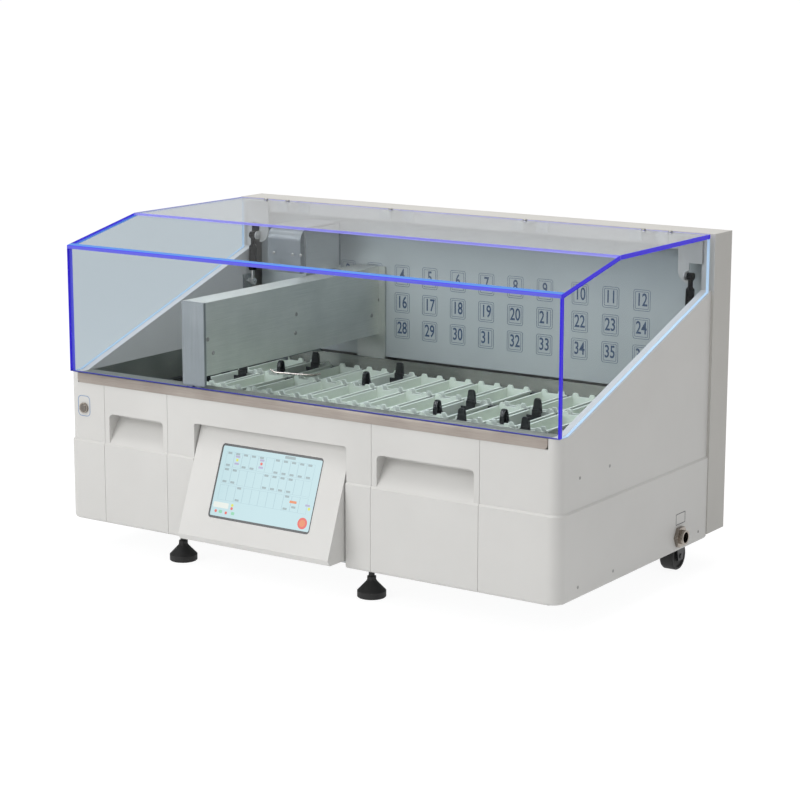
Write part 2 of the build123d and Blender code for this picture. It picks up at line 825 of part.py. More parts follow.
def x_carriage():
    """Bearing block on the X rail, its riser and the clamp that grips the belt."""
    beam_top_z = body_bottom + rail_beam_bottom_height + rail_beam_tall
    middle = rail_beam_front + rail_beam_depth / 2
    x0 = arm_x - 30
    x1 = arm_right + 30
    foot = body_bottom + tub_back_height + 1.5
    z1 = beam_top_z + rail_height + 6
    gap = rail_width / 2 + fit_gap
    carriage = block(x0, x1, middle - 13.5, middle + 13.5, beam_top_z + 1.5, z1)
    carriage -= block(x0 - 1, x1 + 1, middle - gap, middle + gap, beam_top_z,
                      beam_top_z + rail_height + fit_gap)
    carriage += block(arm_x, arm_right, middle - 13.5, middle + 13.5, z1, foot)
    belt_top = body_bottom + x_belt_height + x_pulley_radius + belt_thickness
    c0 = arm_x + 10
    c1 = arm_right - 10
    front = tub_back + 3
    carriage += block(c0, c1, front, front + 4, belt_top + fit_gap, z1)
    carriage += block(c0, c1, front + 3, middle - 13, z1 - 6, z1)
    return carriage + block(c0, c1, front, front + 22, belt_top + fit_gap, belt_top + 5)


def arm_bracket():
    """Plate at the root of the arm; its foot passes under the back wall to the carriage."""
    t = flange_thickness
    z0 = body_bottom + tub_back_height + 1.5
    y0 = arm_back
    middle = rail_beam_front + rail_beam_depth / 2
    plate = block(arm_x, arm_right + flange_extra, y0, y0 + t, z0, arm_top)
    plate += block(arm_x, arm_right + flange_extra, y0, middle + 13.5, z0, z0 + t)
    side = block(beam_right + fit_gap, beam_right + fit_gap + t, beam_end - 60, y0, beam_bottom,
                 beam_top)
    return plate + side


def arm_beam():
    """Hollow beam of the arm with the Y rail on its left face."""
    wall = beam_wall
    y0 = arm_front + arm_cap_thickness + 2
    tube = block(beam_left, beam_right, y0, beam_end, beam_bottom, beam_top)
    tube -= block(beam_left + wall, beam_right - wall, y0 - 1, beam_end + 1, beam_bottom + wall,
                  beam_top - wall)
    middle = beam_top - 33
    rail = block(beam_left - rail_height, beam_left, y0 + 6, beam_end - 2, middle - rail_width / 2,
                 middle + rail_width / 2)
    return group([tube, rail])


def arm_cover():
    """Brushed steel channel over the arm, open on the left for the lift unit."""
    s = arm_sheet
    y0 = arm_front + arm_cap_thickness
    cover = block(arm_x, arm_right, y0, arm_back, arm_bottom, arm_top)
    cover -= block(arm_x + s, arm_right - s, y0 - 1, arm_back + 1, arm_bottom + s, arm_top - s)
    return cover - block(arm_x - 1, arm_x + s + 1, y0 - 1, arm_back + 1, arm_bottom + arm_lip,
                         arm_top - arm_lip)


def arm_end_cap():
    """End cap of the arm, with two glides that run along the trim."""
    y0 = arm_front
    y1 = y0 + arm_cap_thickness
    z0 = arm_bottom - arm_cap_drop
    cap = block(arm_x, arm_right, y0, y1, z0, arm_top)
    edges = cap.edges().filter_by(Axis.Z).sort_by(Axis.Y)[:2]
    cap = fillet(edges, 2)
    tie = block(beam_left, beam_right, y1, y1 + 2 - fit_gap, beam_bottom, beam_top)
    for x in (arm_x + 12, arm_right - 26):
        cap += block(x, x + 14, y0 + 1.5, y1 + 6, body_top + fit_gap, z0 + 4)
    return cap + tie


def y_drive():
    """Motor, pulleys and belt that pull the lift unit along the arm."""
    half = motor_size / 2
    z = beam_bottom + half + 26
    y_motor = beam_end + 4 + half
    y_idler = arm_front + 34
    x_belt = beam_left - 2 - belt_width - 1.5
    radius = 9.0
    motor = block(beam_left, beam_right, y_motor - half, y_motor + half, z - half, z + half)
    length = y_motor - y_idler
    loop = Plane.YZ.offset(x_belt) * belt_loop(length, radius, belt_width)
    pieces = [motor, Pos(0, (y_motor + y_idler) / 2, z) * loop]
    for y in (y_motor, y_idler):
        wheel = Pos(0, y, z) * (Plane.YZ.offset(x_belt - 1.4) * pulley(radius, belt_width + 2.8))
        pieces.append(wheel + axle(y, z, x_belt - 1, beam_left, 2.5))
    return group(pieces)


def trolley_plate():
    """Bearing block on the Y rail and the back plate of the lift unit."""
    y0 = lift_centre_y - 63
    y1 = lift_centre_y + 63
    z_rail = beam_top - 33
    outer = beam_left - rail_height - 8
    gap = rail_width / 2 + fit_gap
    body = block(outer, beam_left - 2, y0, y1, z_rail - 16, z_rail + 16)
    body -= block(beam_left - rail_height - fit_gap, beam_left, y0 - 1, y1 + 1, z_rail - gap,
                  z_rail + gap)
    body += block(outer - 3.5, outer, y0, y1, arm_bottom + arm_lip + 5, arm_top - arm_lip - 5)
    return body + block(outer - 7, outer - 3.5, y0 + 4, y1, beam_bottom - 4,
                        body_bottom + lift_top_height - 5)


def lift_right():
    """Left face of the lift unit's back plate, which its motor and rail sit on."""
    return beam_left - rail_height - 15


def lift_cover():
    """Curved brushed cover over the lift motor, with lips that lie on the back plate."""
    s = lift_sheet
    y0 = lift_centre_y - lift_length / 2
    y1 = lift_centre_y + lift_length / 2
    z0 = body_bottom + lift_cover_bottom_height
    z1 = body_bottom + lift_top_height
    right = lift_right()
    outer = block(lift_left, right, y0, y1, z0, z1)
    outer = fillet(outer.edges().filter_by(Axis.X).sort_by(Axis.Y)[:2].sort_by(Axis.Z)[-1],
                   lift_cover_radius)
    inner = block(lift_left + s, right + 1, y0 + s, y1 - s, z0 - 1, z1 - s)
    inner = fillet(inner.edges().filter_by(Axis.X).sort_by(Axis.Y)[:2].sort_by(Axis.Z)[-1],
                   lift_cover_radius - s)
    for y in (y0, y1 - lift_cover_lip):
        inner -= block(right - s, right + 2, y, y + lift_cover_lip, z0 - 2, z1 + 1)
    return outer - inner


def z_drive():
    """Lift motor with its lead screw, and the Z rail beside it."""
    x1 = lift_right()
    half = motor_size / 2
    z0 = body_bottom + 533.0
    motor = block(x1 - motor_size, x1, lift_centre_y - half, lift_centre_y + half, z0,
                  z0 + motor_length)
    screw = post(x1 - half, lift_centre_y, beam_bottom + 4, z0, screw_radius)
    rail = block(x1 - rail_height, x1, lift_centre_y + 32, lift_centre_y + 32 + rail_width,
                 beam_bottom + 4, z0)
    return group([motor + screw, rail])


def lift_column():
    """Nut block on the lead screw and the bar that carries the gripper."""
    x1 = lift_right()
    half = column_bar / 2
    z0 = beam_bottom + 8
    z1 = z0 + 25
    y = lift_centre_y
    body = block(gripper_x - half, x1 - 1, y - 14, y + column_reach, z0, z1)
    body -= post(x1 - motor_size / 2, y, z0 - 1, z1 + 1, screw_radius + pin_clearance)
    g = fit_gap
    body -= block(x1 - rail_height - g, x1, y + 32 - g, y + 32 + rail_width + g, z0 - 1, z1 + 1)
    bottom = gripper_bottom() + spine_thickness + hook_depth
    return body + block(gripper_x - half, gripper_x + half, y - half, y + half, bottom, z0)


def gripper_bottom():
    """Underside of the gripper hooks, just above the rack ears."""
    return rim_top + fit_gap + ear_height + hook_lift


def gripper():
    """Spine with a hook bar over each ear of the rack below."""
    z0 = gripper_bottom()
    y_front = bath_y(2) + ear_inset
    y_rear = y_front + rack_length + ear_thickness
    half = spine_width / 2
    z1 = z0 + hook_depth
    body = block(gripper_x - half, gripper_x + half, y_front - 3, y_rear + 3, z1, z1 + spine_thickness)
    for y in (y_front, y_rear):
        body += block(gripper_x - hook_width / 2, gripper_x + hook_width / 2, y - hook_depth / 2,
                      y + hook_depth / 2, z0, z1)
    return body


# Hood


def hood_corners():
    """Outer and inner corner points of the hood's side outline."""
    rise = tan(slope_angle)
    drop = acrylic / cos(slope_angle)
    front_inner = hood_front_top + acrylic * rise - drop
    top_inner = hood_top - acrylic
    y_inner = hood_inset + (top_inner + drop - hood_front_top) / rise
    return front_inner, y_inner, top_inner


hood_rear = body_depth - hood_rear_gap


def hood_panel(points):
    """Full-width acrylic panel with this side profile."""
    x = half_width - hood_inset
    return yz_slab(points, -x, x)


def hood_front():
    front_inner, y_inner, top_inner = hood_corners()
    z0 = body_top + fit_gap
    y0 = hood_inset
    y1 = hood_inset + acrylic
    return hood_panel([(y0, z0), (y1, z0), (y1, front_inner), (y0, hood_front_top)])


def hood_slope():
    front_inner, y_inner, top_inner = hood_corners()
    return hood_panel([(hood_inset, hood_front_top), (hood_inset + acrylic, front_inner),
                       (y_inner, top_inner),
                       (hood_slope_end, hood_top)])


def hood_screw_places():
    """X of each screw through the top panel: one in each hinge leaf and one in each strut bracket."""
    outer = strut_x - 8 - bracket_width / 2 - bracket_flange_reach / 2
    return [*hinge_places, -outer, outer]


def hood_top_panel():
    """Top panel with its screw holes near the rear edge."""
    front_inner, y_inner, top_inner = hood_corners()
    profile = [
        (hood_slope_end, hood_top),
        (y_inner, top_inner),
        (hood_rear, top_inner),
        (hood_rear, hood_top),
    ]
    panel = hood_panel(profile)
    hole = hood_screw_radius + pin_clearance
    for x in hood_screw_places():
        panel -= post(x, hood_rear - hood_screw_inset, top_inner - 1, hood_top + 1, hole)
    return panel


def hood_screw(x):
    """Button-head screw through the top panel into the sheet below it."""
    y = hood_rear - hood_screw_inset
    head = post(x, y, hood_top, hood_top + hood_screw_head_height, hood_screw_head_radius)
    head = fillet(head.faces().sort_by(Axis.Z)[-1].edges(), hood_screw_head_height * 0.6)
    return head + post(x, y, hood_top - acrylic - leaf_sheet, hood_top, hood_screw_radius)


def hood_sides():
    """Side panels under the top and slope; their lower edges follow the casing sides."""
    front_inner, y_inner, top_inner = hood_corners()
    rise = (side_rear_height - casing_height) / (body_depth - side_level_depth)
    low = body_top + fit_gap
    rear = low + (hood_rear - side_level_depth) * rise
    points = [(hood_inset + acrylic, low), (side_level_depth, low), (hood_rear, rear),
              (hood_rear, top_inner),
              (y_inner, top_inner), (hood_inset + acrylic, front_inner)]
    x1 = half_width - hood_inset
    right = yz_slab(points, x1 - acrylic, x1)
    return group([right, mirrored(right)])


hinge_y = body_depth - 4.0
hinge_z = hood_top - 4.0


def hood_brackets():
    """Hinge leaves under the top panel, and the rounded brackets that the gas struts push on."""
    pieces = []
    under = hood_top - acrylic
    half = knuckle_length / 2
    for x in hinge_places:
        leaf = block(x - half, x + half, hood_rear - leaf_length, hinge_y, under - leaf_sheet, under)
        leaf += block(x - half, x + half, hinge_y - 1.5, hinge_y + 1.5, under - leaf_sheet, hinge_z)
        leaf += axle(hinge_y, hinge_z, x - half, x + half, hinge_radius)
        leaf -= axle(hinge_y, hinge_z, x - half - 1, x + half + 1, hinge_pin_radius + pin_clearance)
        pieces.append(leaf + hood_screw(x))
    back = strut_top_y + strut_tube_radius + 2
    z0 = body_bottom + bracket_bottom_height
    centre = strut_x - 8
    w = bracket_width / 2
    upper = Pos(centre, (z0 + w + under) / 2) * Rectangle(2 * w, under - z0 - w)
    outline = Pos(centre, z0 + w) * Circle(w) + upper
    plate = xz_slab(outline, back, back + bracket_sheet)
    inner = centre - w - bracket_flange_reach
    front = hood_rear - leaf_length
    plate += block(inner, centre + w, front, hood_rear, under - bracket_sheet, under)
    plate += block(centre - w, centre + w, hood_rear, back + bracket_sheet, under - bracket_sheet,
                   under)
    plate += hood_screw(inner + bracket_flange_reach / 2)
    z = body_bottom + strut_top_height
    swing_room = strut_x - strut_tube_radius - bracket_clearance
    plate -= block(swing_room, centre + w + 1, back - 1, back + 3, z0 - 1, z + strut_swing_rise)
    lug_x = strut_x - strut_eye_width / 2 - 5
    lug = axle(strut_top_y, z, lug_x - 2.5, lug_x, 9)
    lug += block(lug_x - 2.5, lug_x, strut_top_y, back + 1, z - 9, z + 9)
    pin = axle(strut_top_y, z, lug_x - 4, strut_x - strut_eye_width / 2 - 0.4, strut_pin_radius)
    plate -= block(centre - w - 1, centre + w + 1, hood_rear, back + 3, under - 0.1, under + 1)
    right = plate + lug + pin
    return group(pieces + [right, mirrored(right)])


def hood_fittings():
    """Fixed hinge leaves with their pins, and the lower strut brackets on the casing sides."""
    pieces = []
    half = knuckle_length / 2
    for x in hinge_places:
        pieces.append(axle(hinge_y, hinge_z, x - 1.5 * knuckle_length, x + 1.5 * knuckle_length,
                           hinge_pin_radius))
        for side in (-1, 1):
            a, b = sorted((x + side * (half + 0.4), x + side * 1.5 * knuckle_length))
            leaf = block(a, b, body_depth - leaf_sheet, body_depth, hood_top - header_height + 4,
                         hinge_z)
            leaf += block(a, b, hinge_y, body_depth, hinge_z - 2, hinge_z)
            leaf += axle(hinge_y, hinge_z, a, b, hinge_radius)
            pieces.append(leaf - axle(hinge_y, hinge_z, a - 1, b + 1, hinge_pin_radius + 0.02))
    z = body_bottom + strut_foot_height
    y = strut_foot_y
    plate = block(inner_half - fit_gap - 2.5, inner_half - fit_gap, y - 16, y + 16, z - 16, z + 16)
    plate += axle(y, z, strut_x - strut_eye_width / 2 - 1, inner_half - 2, strut_pin_radius)
    return group(pieces + [plate, mirrored(plate)])


strut_length = hypot(strut_top_y - strut_foot_y, strut_top_height - strut_foot_height)
strut_lean = degrees(atan2(strut_top_y - strut_foot_y, strut_top_height - strut_foot_height))


def strut_place():
    """Moves a strut drawn upright from its lower pivot to its place on the right."""
    return Pos(strut_x, strut_foot_y, body_bottom + strut_foot_height) * Rot(-strut_lean, 0, 0)


def strut_rod():
    """Polished rod with its lower eye."""
    half = strut_eye_width / 2
    rod = post(0, 0, strut_eye_radius - 2, strut_tube_start + strut_rod_insert, strut_rod_radius)
    rod += axle(0, 0, -half, half, strut_eye_radius)
    rod -= axle(0, 0, -half - 1, half + 1, strut_pin_radius + pin_clearance)
    return strut_place() * rod


def strut_cylinder():
    """Black cylinder with a tapered neck and its upper eye."""
    r = strut_tube_radius
    neck = r - 4
    eye = strut_length - strut_eye_radius + 2
    profile = [
        (0, strut_tube_start),
        (r - 1, strut_tube_start),
        (r, strut_tube_start + 1),
        (r, strut_tube_end - 3),
        (neck, strut_tube_end + 2),
        (neck, eye),
        (0, eye),
    ]
    tube = revolve(Plane.XZ * make_face(Polyline(*profile, close=True)), Axis.Z)
    tube -= post(0, 0, strut_tube_start - 1, strut_tube_end - 1, strut_rod_radius + pin_clearance)
    half = strut_eye_width / 2
    tube += axle(0, strut_length, -half, half, strut_eye_radius)
    return strut_place() * tube


# Feet, wheels, switch and drain


def levelling_foot(place):
    """Cone-shaped foot with a lock nut and a threaded stem."""
    r = foot_pad_radius
    neck = foot_neck_radius
    h = foot_pad_height
    outline = [
        (0, 0),
        (r - 1.5, 0),
        (r, 1.5),
        (r, foot_rim_height - 2),
        (r - 2, foot_rim_height),
        (neck + 1, h - 2),
        (neck, h),
        (0, h),
    ]
    foot = revolve(Plane.XZ * make_face(Polyline(*outline, close=True)), Axis.Z)
    foot += Pos(0, 0, h) * extrude(RegularPolygon(neck, 6), foot_nut_height)
    foot += post(0, 0, h, floor_top + 8, foot_stem_radius)
    return Pos(place, foot_y, 0) * foot


def rear_wheel(side):
    """Soft-tyred wheel with a bore for its axle."""
    half = wheel_width / 2
    r = wheel_radius
    bore = axle_radius + pin_clearance
    inner = [(bore, -half), (12, -half), (12, -half + 3), (r - 8, -half + 3), (r - 6, -half)]
    tread = [(r - 2, -half), (r, -half + 3), (r, half - 3), (r - 2, half)]
    outer = [(r - 6, half), (r - 8, half - 3), (12, half - 3), (12, half), (bore, half)]
    profile = inner + tread + outer
    wheel = revolve(Plane.XZ * make_face(Polyline(*profile, close=True)), Axis.Z)
    return Pos(side * wheel_x, wheel_y, wheel_radius) * Rot(0, 90, 0) * wheel


def castor_forks():
    """Bent steel forks under the floor, with the axles of the rear wheels."""
    pieces = []
    inner = wheel_width / 2 + 1.0
    outer = inner + fork_sheet
    for side in (-1, 1):
        x = side * wheel_x
        fork = block(x - outer, x + outer, wheel_y - 24, wheel_y + 24, floor_bottom - fork_sheet,
                     floor_bottom)
        for a, b in ((-outer, -inner), (inner, outer)):
            cheek = [(wheel_y - 22, floor_bottom), (wheel_y + 22, floor_bottom),
                     (wheel_y + 10, wheel_radius - 9),
                     (wheel_y - 10, wheel_radius - 9)]
            fork += yz_slab(cheek, x + a, x + b)
        pin = axle(wheel_y, wheel_radius, x - outer - 2, x + outer + 2, axle_radius)
        pieces.append(fork + pin)
    return group(pieces)


def power_switch_body():
    """Metal ring and barrel of the power switch, set through the left casing."""
    z = body_bottom + switch_height
    face = ledge_step
    body = stud(switch_x, z, face - 4, face, switch_radius) + stud(switch_x, z, face - 1, face + 24,
                                                                   switch_barrel_radius)
    return body - stud(switch_x, z, face - 5, face + 8, switch_bore_radius)


def power_button():
    """Domed plunger of the power switch."""
    z = body_bottom + switch_height
    button = stud(switch_x, z, ledge_step - 5.5, ledge_step + 4, plunger_radius)
    return fillet(button.faces().sort_by(Axis.Y)[0].edges(), 1.5)


def drain_fitting():
    """Drain nipple with its hexagonal flange and lock nut."""
    z = body_bottom + drain_height
    x = half_width
    hexagon = Pos(drain_y, z) * RegularPolygon(drain_flange / 2, 6)
    body = extrude(Plane.YZ.offset(x) * hexagon, drain_flange_thickness)
    body += axle(drain_y, z, x - 16, x + drain_reach, drain_radius)
    body += axle(drain_y, z, x - casing_wall - 6 - fit_gap, x - casing_wall - fit_gap, drain_radius + 5)
    return body - axle(drain_y, z, x - 17, x + drain_reach + 1, drain_bore_radius)


def drain_pipe():
    """Bent pipe from the floor of the tub to the drain nipple."""
    z = body_bottom + drain_height
    start = (drain_pipe_x, drain_y, tub_floor - fit_gap)
    end = (half_width - 16 - fit_gap, drain_y, z)
    path = FilletPolyline(start, (drain_pipe_x, drain_y, z), end, radius=drain_bend_radius)
    return sweep(Plane(path @ 0,
                       z_dir=path % 0) * (Circle(drain_pipe_radius) - Circle(drain_pipe_radius - 2)), path)


def control_electronics():
    """Power supply, control board and motor drivers on the floor under the tub."""
    z = floor_top
    supply = block(-110, 90, 380, 480, z, z + 50)
    for i in range(8):
        supply -= block(-90 + i * 22, -80 + i * 22, 395, 465, z + 46, z + 51)
    stands = [post(x, y, z, z + 8, 3.5) for x in (-190, 90) for y in (170, 330)]
    board = block(-200, 100, 160, 340, z + 8, z + 10)
    for i in range(3):
        board += block(-180 + i * 70, -130 + i * 70, 190, 240, z + 9, z + 28)
    board += block(30, 85, 270, 320, z + 9, z + 20)
    return group([supply, board] + stands)


# Origin: middle of the bounding box in X and Y, on the bench
x_middle = (half_width + drain_reach - half_width - column_overhang) / 2
y_middle = (bezel_front + column_back) / 2


def export(name, piece):
    """Writes one node in the final frame."""
    export_step(Pos(-x_middle, -y_middle, 0) * piece, f"parts/{name}.step")


def main():
    os.makedirs("parts", exist_ok=True)
    shell = casing_shell()
    nodes = {
        "base_frame": base_frame(),
        "bay_panels": bay_panels(),
        "left_casing": left_casing(shell),
        "right_casing": right_casing(shell),
        "centre_panel": centre_panel(shell),
        "screen_bezel": screen_bezel(),
        "touch_screen": touch_screen(),
        "power_switch_body": power_switch_body(),
        "power_button": power_button(),
        "left_drawer_front": drawer_front(shell, seam_1, seam_2),
        "left_drawer_tray": drawer_tray(seam_1, seam_2),
        "right_drawer_front": drawer_front(shell, seam_3, seam_4),
        "right_drawer_tray": drawer_tray(seam_3, seam_4),
        "drawer_runners": drawer_runners(),
        "wash_tub": wash_tub(),
        "bath_carrier": bath_carrier(),
        "bath_row_front": bath_row(0),
        "bath_row_middle": bath_row(1),
        "bath_row_rear": bath_row(2),
        "resting_racks": group(rack(*place) for place in fixed_racks + plain_racks),
        "wire_handle": wire_handle(),
        "column_cover": column_cover(),
        "back_wall": back_wall(),
        "rear_panel": rear_panel(),
        "power_inlet": power_inlet(),
        "x_rail": x_rail(),
        "x_drive": x_drive(),
        "x_carriage": x_carriage(),
        "arm_bracket": arm_bracket(),
        "arm_beam": arm_beam(),
        "arm_cover": arm_cover(),
        "arm_end_cap": arm_end_cap(),
        "y_drive": y_drive(),
        "trolley_plate": trolley_plate(),
        "lift_cover": lift_cover(),
        "z_drive": z_drive(),
        "lift_column": lift_column(),
        "gripper": gripper(),
        "hood_front": hood_front(),
        "hood_slope": hood_slope(),
        "hood_top": hood_top_panel(),
        "hood_sides": hood_sides(),
        "hood_brackets": hood_brackets(),
        "hood_fittings": hood_fittings(),
        "right_strut_rod": strut_rod(),
        "right_strut_cylinder": strut_cylinder(),
        "left_strut_rod": mirrored(strut_rod()),
        "left_strut_cylinder": mirrored(strut_cylinder()),
        "left_foot": levelling_foot(foot_places[0]),
        "right_foot": levelling_foot(foot_places[1]),
        "left_wheel": rear_wheel(-1),
        "right_wheel": rear_wheel(1),
        "castor_forks": castor_forks(),
        "drain_fitting": drain_fitting(),
        "drain_pipe": drain_pipe(),
        "control_electronics": control_electronics(),
    }
    for name, place in lifting_racks.items():
        nodes[name] = rack(*place)
    for name, piece in nodes.items():
        export(name, piece)


main()
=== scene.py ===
import json
from math import cos, pi, radians, sin
import bmesh
import bpy
from mathutils import Matrix, Vector


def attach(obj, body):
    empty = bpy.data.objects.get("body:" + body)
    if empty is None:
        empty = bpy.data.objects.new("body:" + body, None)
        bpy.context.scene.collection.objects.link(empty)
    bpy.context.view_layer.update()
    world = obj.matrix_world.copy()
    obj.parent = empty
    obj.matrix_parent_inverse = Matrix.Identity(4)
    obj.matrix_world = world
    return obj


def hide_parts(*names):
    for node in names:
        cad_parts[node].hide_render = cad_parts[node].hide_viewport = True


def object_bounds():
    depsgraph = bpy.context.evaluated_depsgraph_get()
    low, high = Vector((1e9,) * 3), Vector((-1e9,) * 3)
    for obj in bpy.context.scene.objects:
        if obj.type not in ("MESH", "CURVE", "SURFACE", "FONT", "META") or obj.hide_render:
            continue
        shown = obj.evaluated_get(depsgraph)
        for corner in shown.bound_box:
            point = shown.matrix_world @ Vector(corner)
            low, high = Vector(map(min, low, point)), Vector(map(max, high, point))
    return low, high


# Bench slide stainer dressed for the camera. Everything is in metres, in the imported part's frame.
# Sizes are written in millimetres in the part's own drawing frame, in which X = 0 is the middle of
# the casing, Y = 0 its front face and Z = 0 the bench, and spot() brings them into the scene.

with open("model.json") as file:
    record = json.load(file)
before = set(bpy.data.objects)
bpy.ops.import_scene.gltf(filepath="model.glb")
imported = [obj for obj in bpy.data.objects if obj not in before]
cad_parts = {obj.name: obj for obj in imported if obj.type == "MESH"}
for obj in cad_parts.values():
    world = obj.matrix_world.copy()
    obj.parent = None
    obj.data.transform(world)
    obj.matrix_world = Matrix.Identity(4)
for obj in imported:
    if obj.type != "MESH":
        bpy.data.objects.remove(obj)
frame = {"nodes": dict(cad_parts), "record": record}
cad_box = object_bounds()
NODES = frame["nodes"]
BODIES = frame["record"]["behaviour"]["bodies"]
BODY_OF = {node: body for body, nodes in BODIES.items() for node in nodes}

MM = 0.001
BODY_BOTTOM = 67.0
SKIRT_TOP = 172.5 + BODY_BOTTOM
HOOD_TOP = 629.0 + BODY_BOTTOM
CASING_SIDE = 600.0
PANEL_INSET = 3.5
COLUMN_LEFT = -602.0
COLUMN_BACK = 681.0
DRAWING_MIDDLE = Vector((COLUMN_LEFT - cad_box[0][0] / MM, COLUMN_BACK - cad_box[1][1] / MM, 0.0))


def spot(x, y, z):
    """A point of the drawing frame, in metres in the scene."""
    return (Vector((x, y, z)) - DRAWING_MIDDLE) * MM


# Finishes


def srgb(hex_colour):
    """An sRGB hex value as a linear colour with full alpha."""
    parts = [int(hex_colour[i:i + 2], 16) / 255 for i in (0, 2, 4)]
    linear = [p / 12.92 if p <= 0.04045 else ((p + 0.055) / 1.055) ** 2.4 for p in parts]
    return (*linear, 1.0)


def per(size_mm):
    """Texture scale whose features are size_mm across."""
    return 1000.0 / size_mm


def add(tree, kind, settings=None, links=None):
    """Adds a node, sets its properties and inputs, and links outputs into it."""
    node = tree.nodes.new(kind)
    for key, value in (settings or {}).items():
        if isinstance(key, int) or key in node.inputs:
            node.inputs[key].default_value = value
        else:
            setattr(node, key, value)
    for key, socket in (links or {}).items():
        tree.links.new(socket, node.inputs[key])
    return node


def finish(name, **shader):
    """A new material: its tree, its shader and its Object coordinates."""
    material = bpy.data.materials.new(name)
    material.use_nodes = True
    tree = material.node_tree
    skin = tree.nodes["Principled BSDF"]
    for key, value in shader.items():
        skin.inputs[key.replace("_", " ")].default_value = value
    where = add(tree, "ShaderNodeTexCoord").outputs["Object"]
    return material, tree, skin, where


def two_tones(tree, skin, source, dark, light, start=0.0, end=1.0):
    """Base colour that follows a texture from a dark tone to a light one."""
    ramp = add(tree, "ShaderNodeValToRGB", links={"Fac": source})
    for stop, position, colour in zip(ramp.color_ramp.elements, (start, end), (dark, light)):
        stop.position = position
        stop.color = colour
    tree.links.new(ramp.outputs["Color"], skin.inputs["Base Color"])


def mottle(tree, skin, where, dark, light, size_mm):
    """Base colour that drifts between two near tones."""
    noise = add(tree, "ShaderNodeTexNoise", {"Scale": per(size_mm), "Detail": 4.0}, {"Vector": where})
    two_tones(tree, skin, noise.outputs["Fac"], srgb(dark), srgb(light), 0.3, 0.7)
    return noise


def vary_roughness(tree, skin, source, low, high):
    """Roughness that follows a texture between two values."""
    span = add(tree, "ShaderNodeMapRange", {"To Min": low, "To Max": high}, {"Value": source})
    tree.links.new(span.outputs["Result"], skin.inputs["Roughness"])


def grain(tree, skin, where, size_mm, height_mm, strength=0.4):
    """Fine raised texture of the surface."""
    noise = add(tree, "ShaderNodeTexNoise", {"Scale": per(size_mm), "Detail": 2.0}, {"Vector": where})
    bump = add(tree, "ShaderNodeBump", {"Strength": strength, "Distance": height_mm * MM},
               {"Height": noise.outputs["Fac"]})
    tree.links.new(bump.outputs["Normal"], skin.inputs["Normal"])


def moulded_abs():
    """Painted, spark-eroded ABS moulding: warm white, satin, with a very fine leathery grain.
    The real grain is 0.3 mm. It is drawn 1.6 mm wide so that it shows at all."""
    material, tree, skin, where = finish("moulded_abs_warm_white", Roughness=0.45, IOR=1.5)
    noise = mottle(tree, skin, where, "C8C7C4", "CDCCC9", 180.0)
    vary_roughness(tree, skin, noise.outputs["Fac"], 0.40, 0.50)
    grain(tree, skin, where, 1.6, 0.05, 0.25)
    return material


def powder_coat():
    """Powder-coated steel sheet: warm white with a shallow orange peel, 2 mm across."""
    material, tree, skin, where = finish("powder_coated_steel_warm_white", Roughness=0.5, IOR=1.5)
    noise = mottle(tree, skin, where, "B9B7B2", "BEBCB7", 220.0)
    vary_roughness(tree, skin, noise.outputs["Fac"], 0.44, 0.55)
    grain(tree, skin, where, 2.0, 0.08, 0.3)
    return material


WALL_SHADE_START = 0.53
WALL_SHADE_END = 0.68


def wall_enamel():
    """Grey-blue stoved enamel on the back wall: smooth, half gloss, with painted shade that darkens it
    toward the top, where the hood shades it."""
    material, tree, skin, where = finish("stoved_enamel_grey_blue", Roughness=0.38, IOR=1.5)
    noise = mottle(tree, skin, where, "B8BDBB", "BFC4C1", 260.0)
    vary_roughness(tree, skin, noise.outputs["Fac"], 0.33, 0.44)
    grain(tree, skin, where, 3.0, 0.04, 0.2)
    # Painted shade: the base colour is mixed toward a darker grey-blue near the top of the wall.
    height = add(tree, "ShaderNodeSeparateXYZ", links={0: where})
    span = {"From Min": WALL_SHADE_START, "From Max": WALL_SHADE_END, "To Min": 0.0, "To Max": 0.75}
    painted_shade_ramp = add(tree, "ShaderNodeMapRange", span, {"Value": height.outputs["Z"]})
    paint_socket = skin.inputs["Base Color"].links[0].from_socket
    shade = add(tree, "ShaderNodeMix", {"data_type": "RGBA", 7: srgb("8E989B")},
                {0: painted_shade_ramp.outputs["Result"], 6: paint_socket})
    tree.links.new(shade.outputs[2], skin.inputs["Base Color"])
    return material


def brushed(name, along, dark, light, low, high, line_mm=0.9, length_mm=90.0):
    """Brushed stainless sheet: fine lines along one axis that break the gloss.
    Real brush lines are 0.1 mm wide. They are drawn about 1 mm wide so that they show."""
    material, tree, skin, where = finish(name, Metallic=1.0)
    scale = [per(line_mm)] * 3
    scale["XYZ".index(along)] = per(length_mm)
    turned = add(tree, "ShaderNodeMapping", {"Scale": scale}, {"Vector": where})
    lines = add(tree, "ShaderNodeTexNoise", {"Scale": 1.0, "Detail": 5.0, "Roughness": 0.65},
                {"Vector": turned.outputs["Vector"]})
    cloud = add(tree, "ShaderNodeTexNoise", {"Scale": per(70.0), "Detail": 2.0}, {"Vector": where})
    blend = add(tree, "ShaderNodeMath", {"operation": "MULTIPLY_ADD", 1: 0.35, 2: 0.0},
                {0: cloud.outputs["Fac"]})
    both = add(tree, "ShaderNodeMath", {"operation": "MULTIPLY_ADD", 1: 0.65},
               {0: lines.outputs["Fac"], 2: blend.outputs["Value"]})
    two_tones(tree, skin, both.outputs["Value"], srgb(dark), srgb(light), 0.35, 0.65)
    vary_roughness(tree, skin, both.outputs["Value"], low, high)
    bump = add(tree, "ShaderNodeBump", {"Strength": 0.15, "Distance": 0.02 * MM},
               {"Height": lines.outputs["Fac"]})
    tree.links.new(bump.outputs["Normal"], skin.inputs["Normal"])
    return material


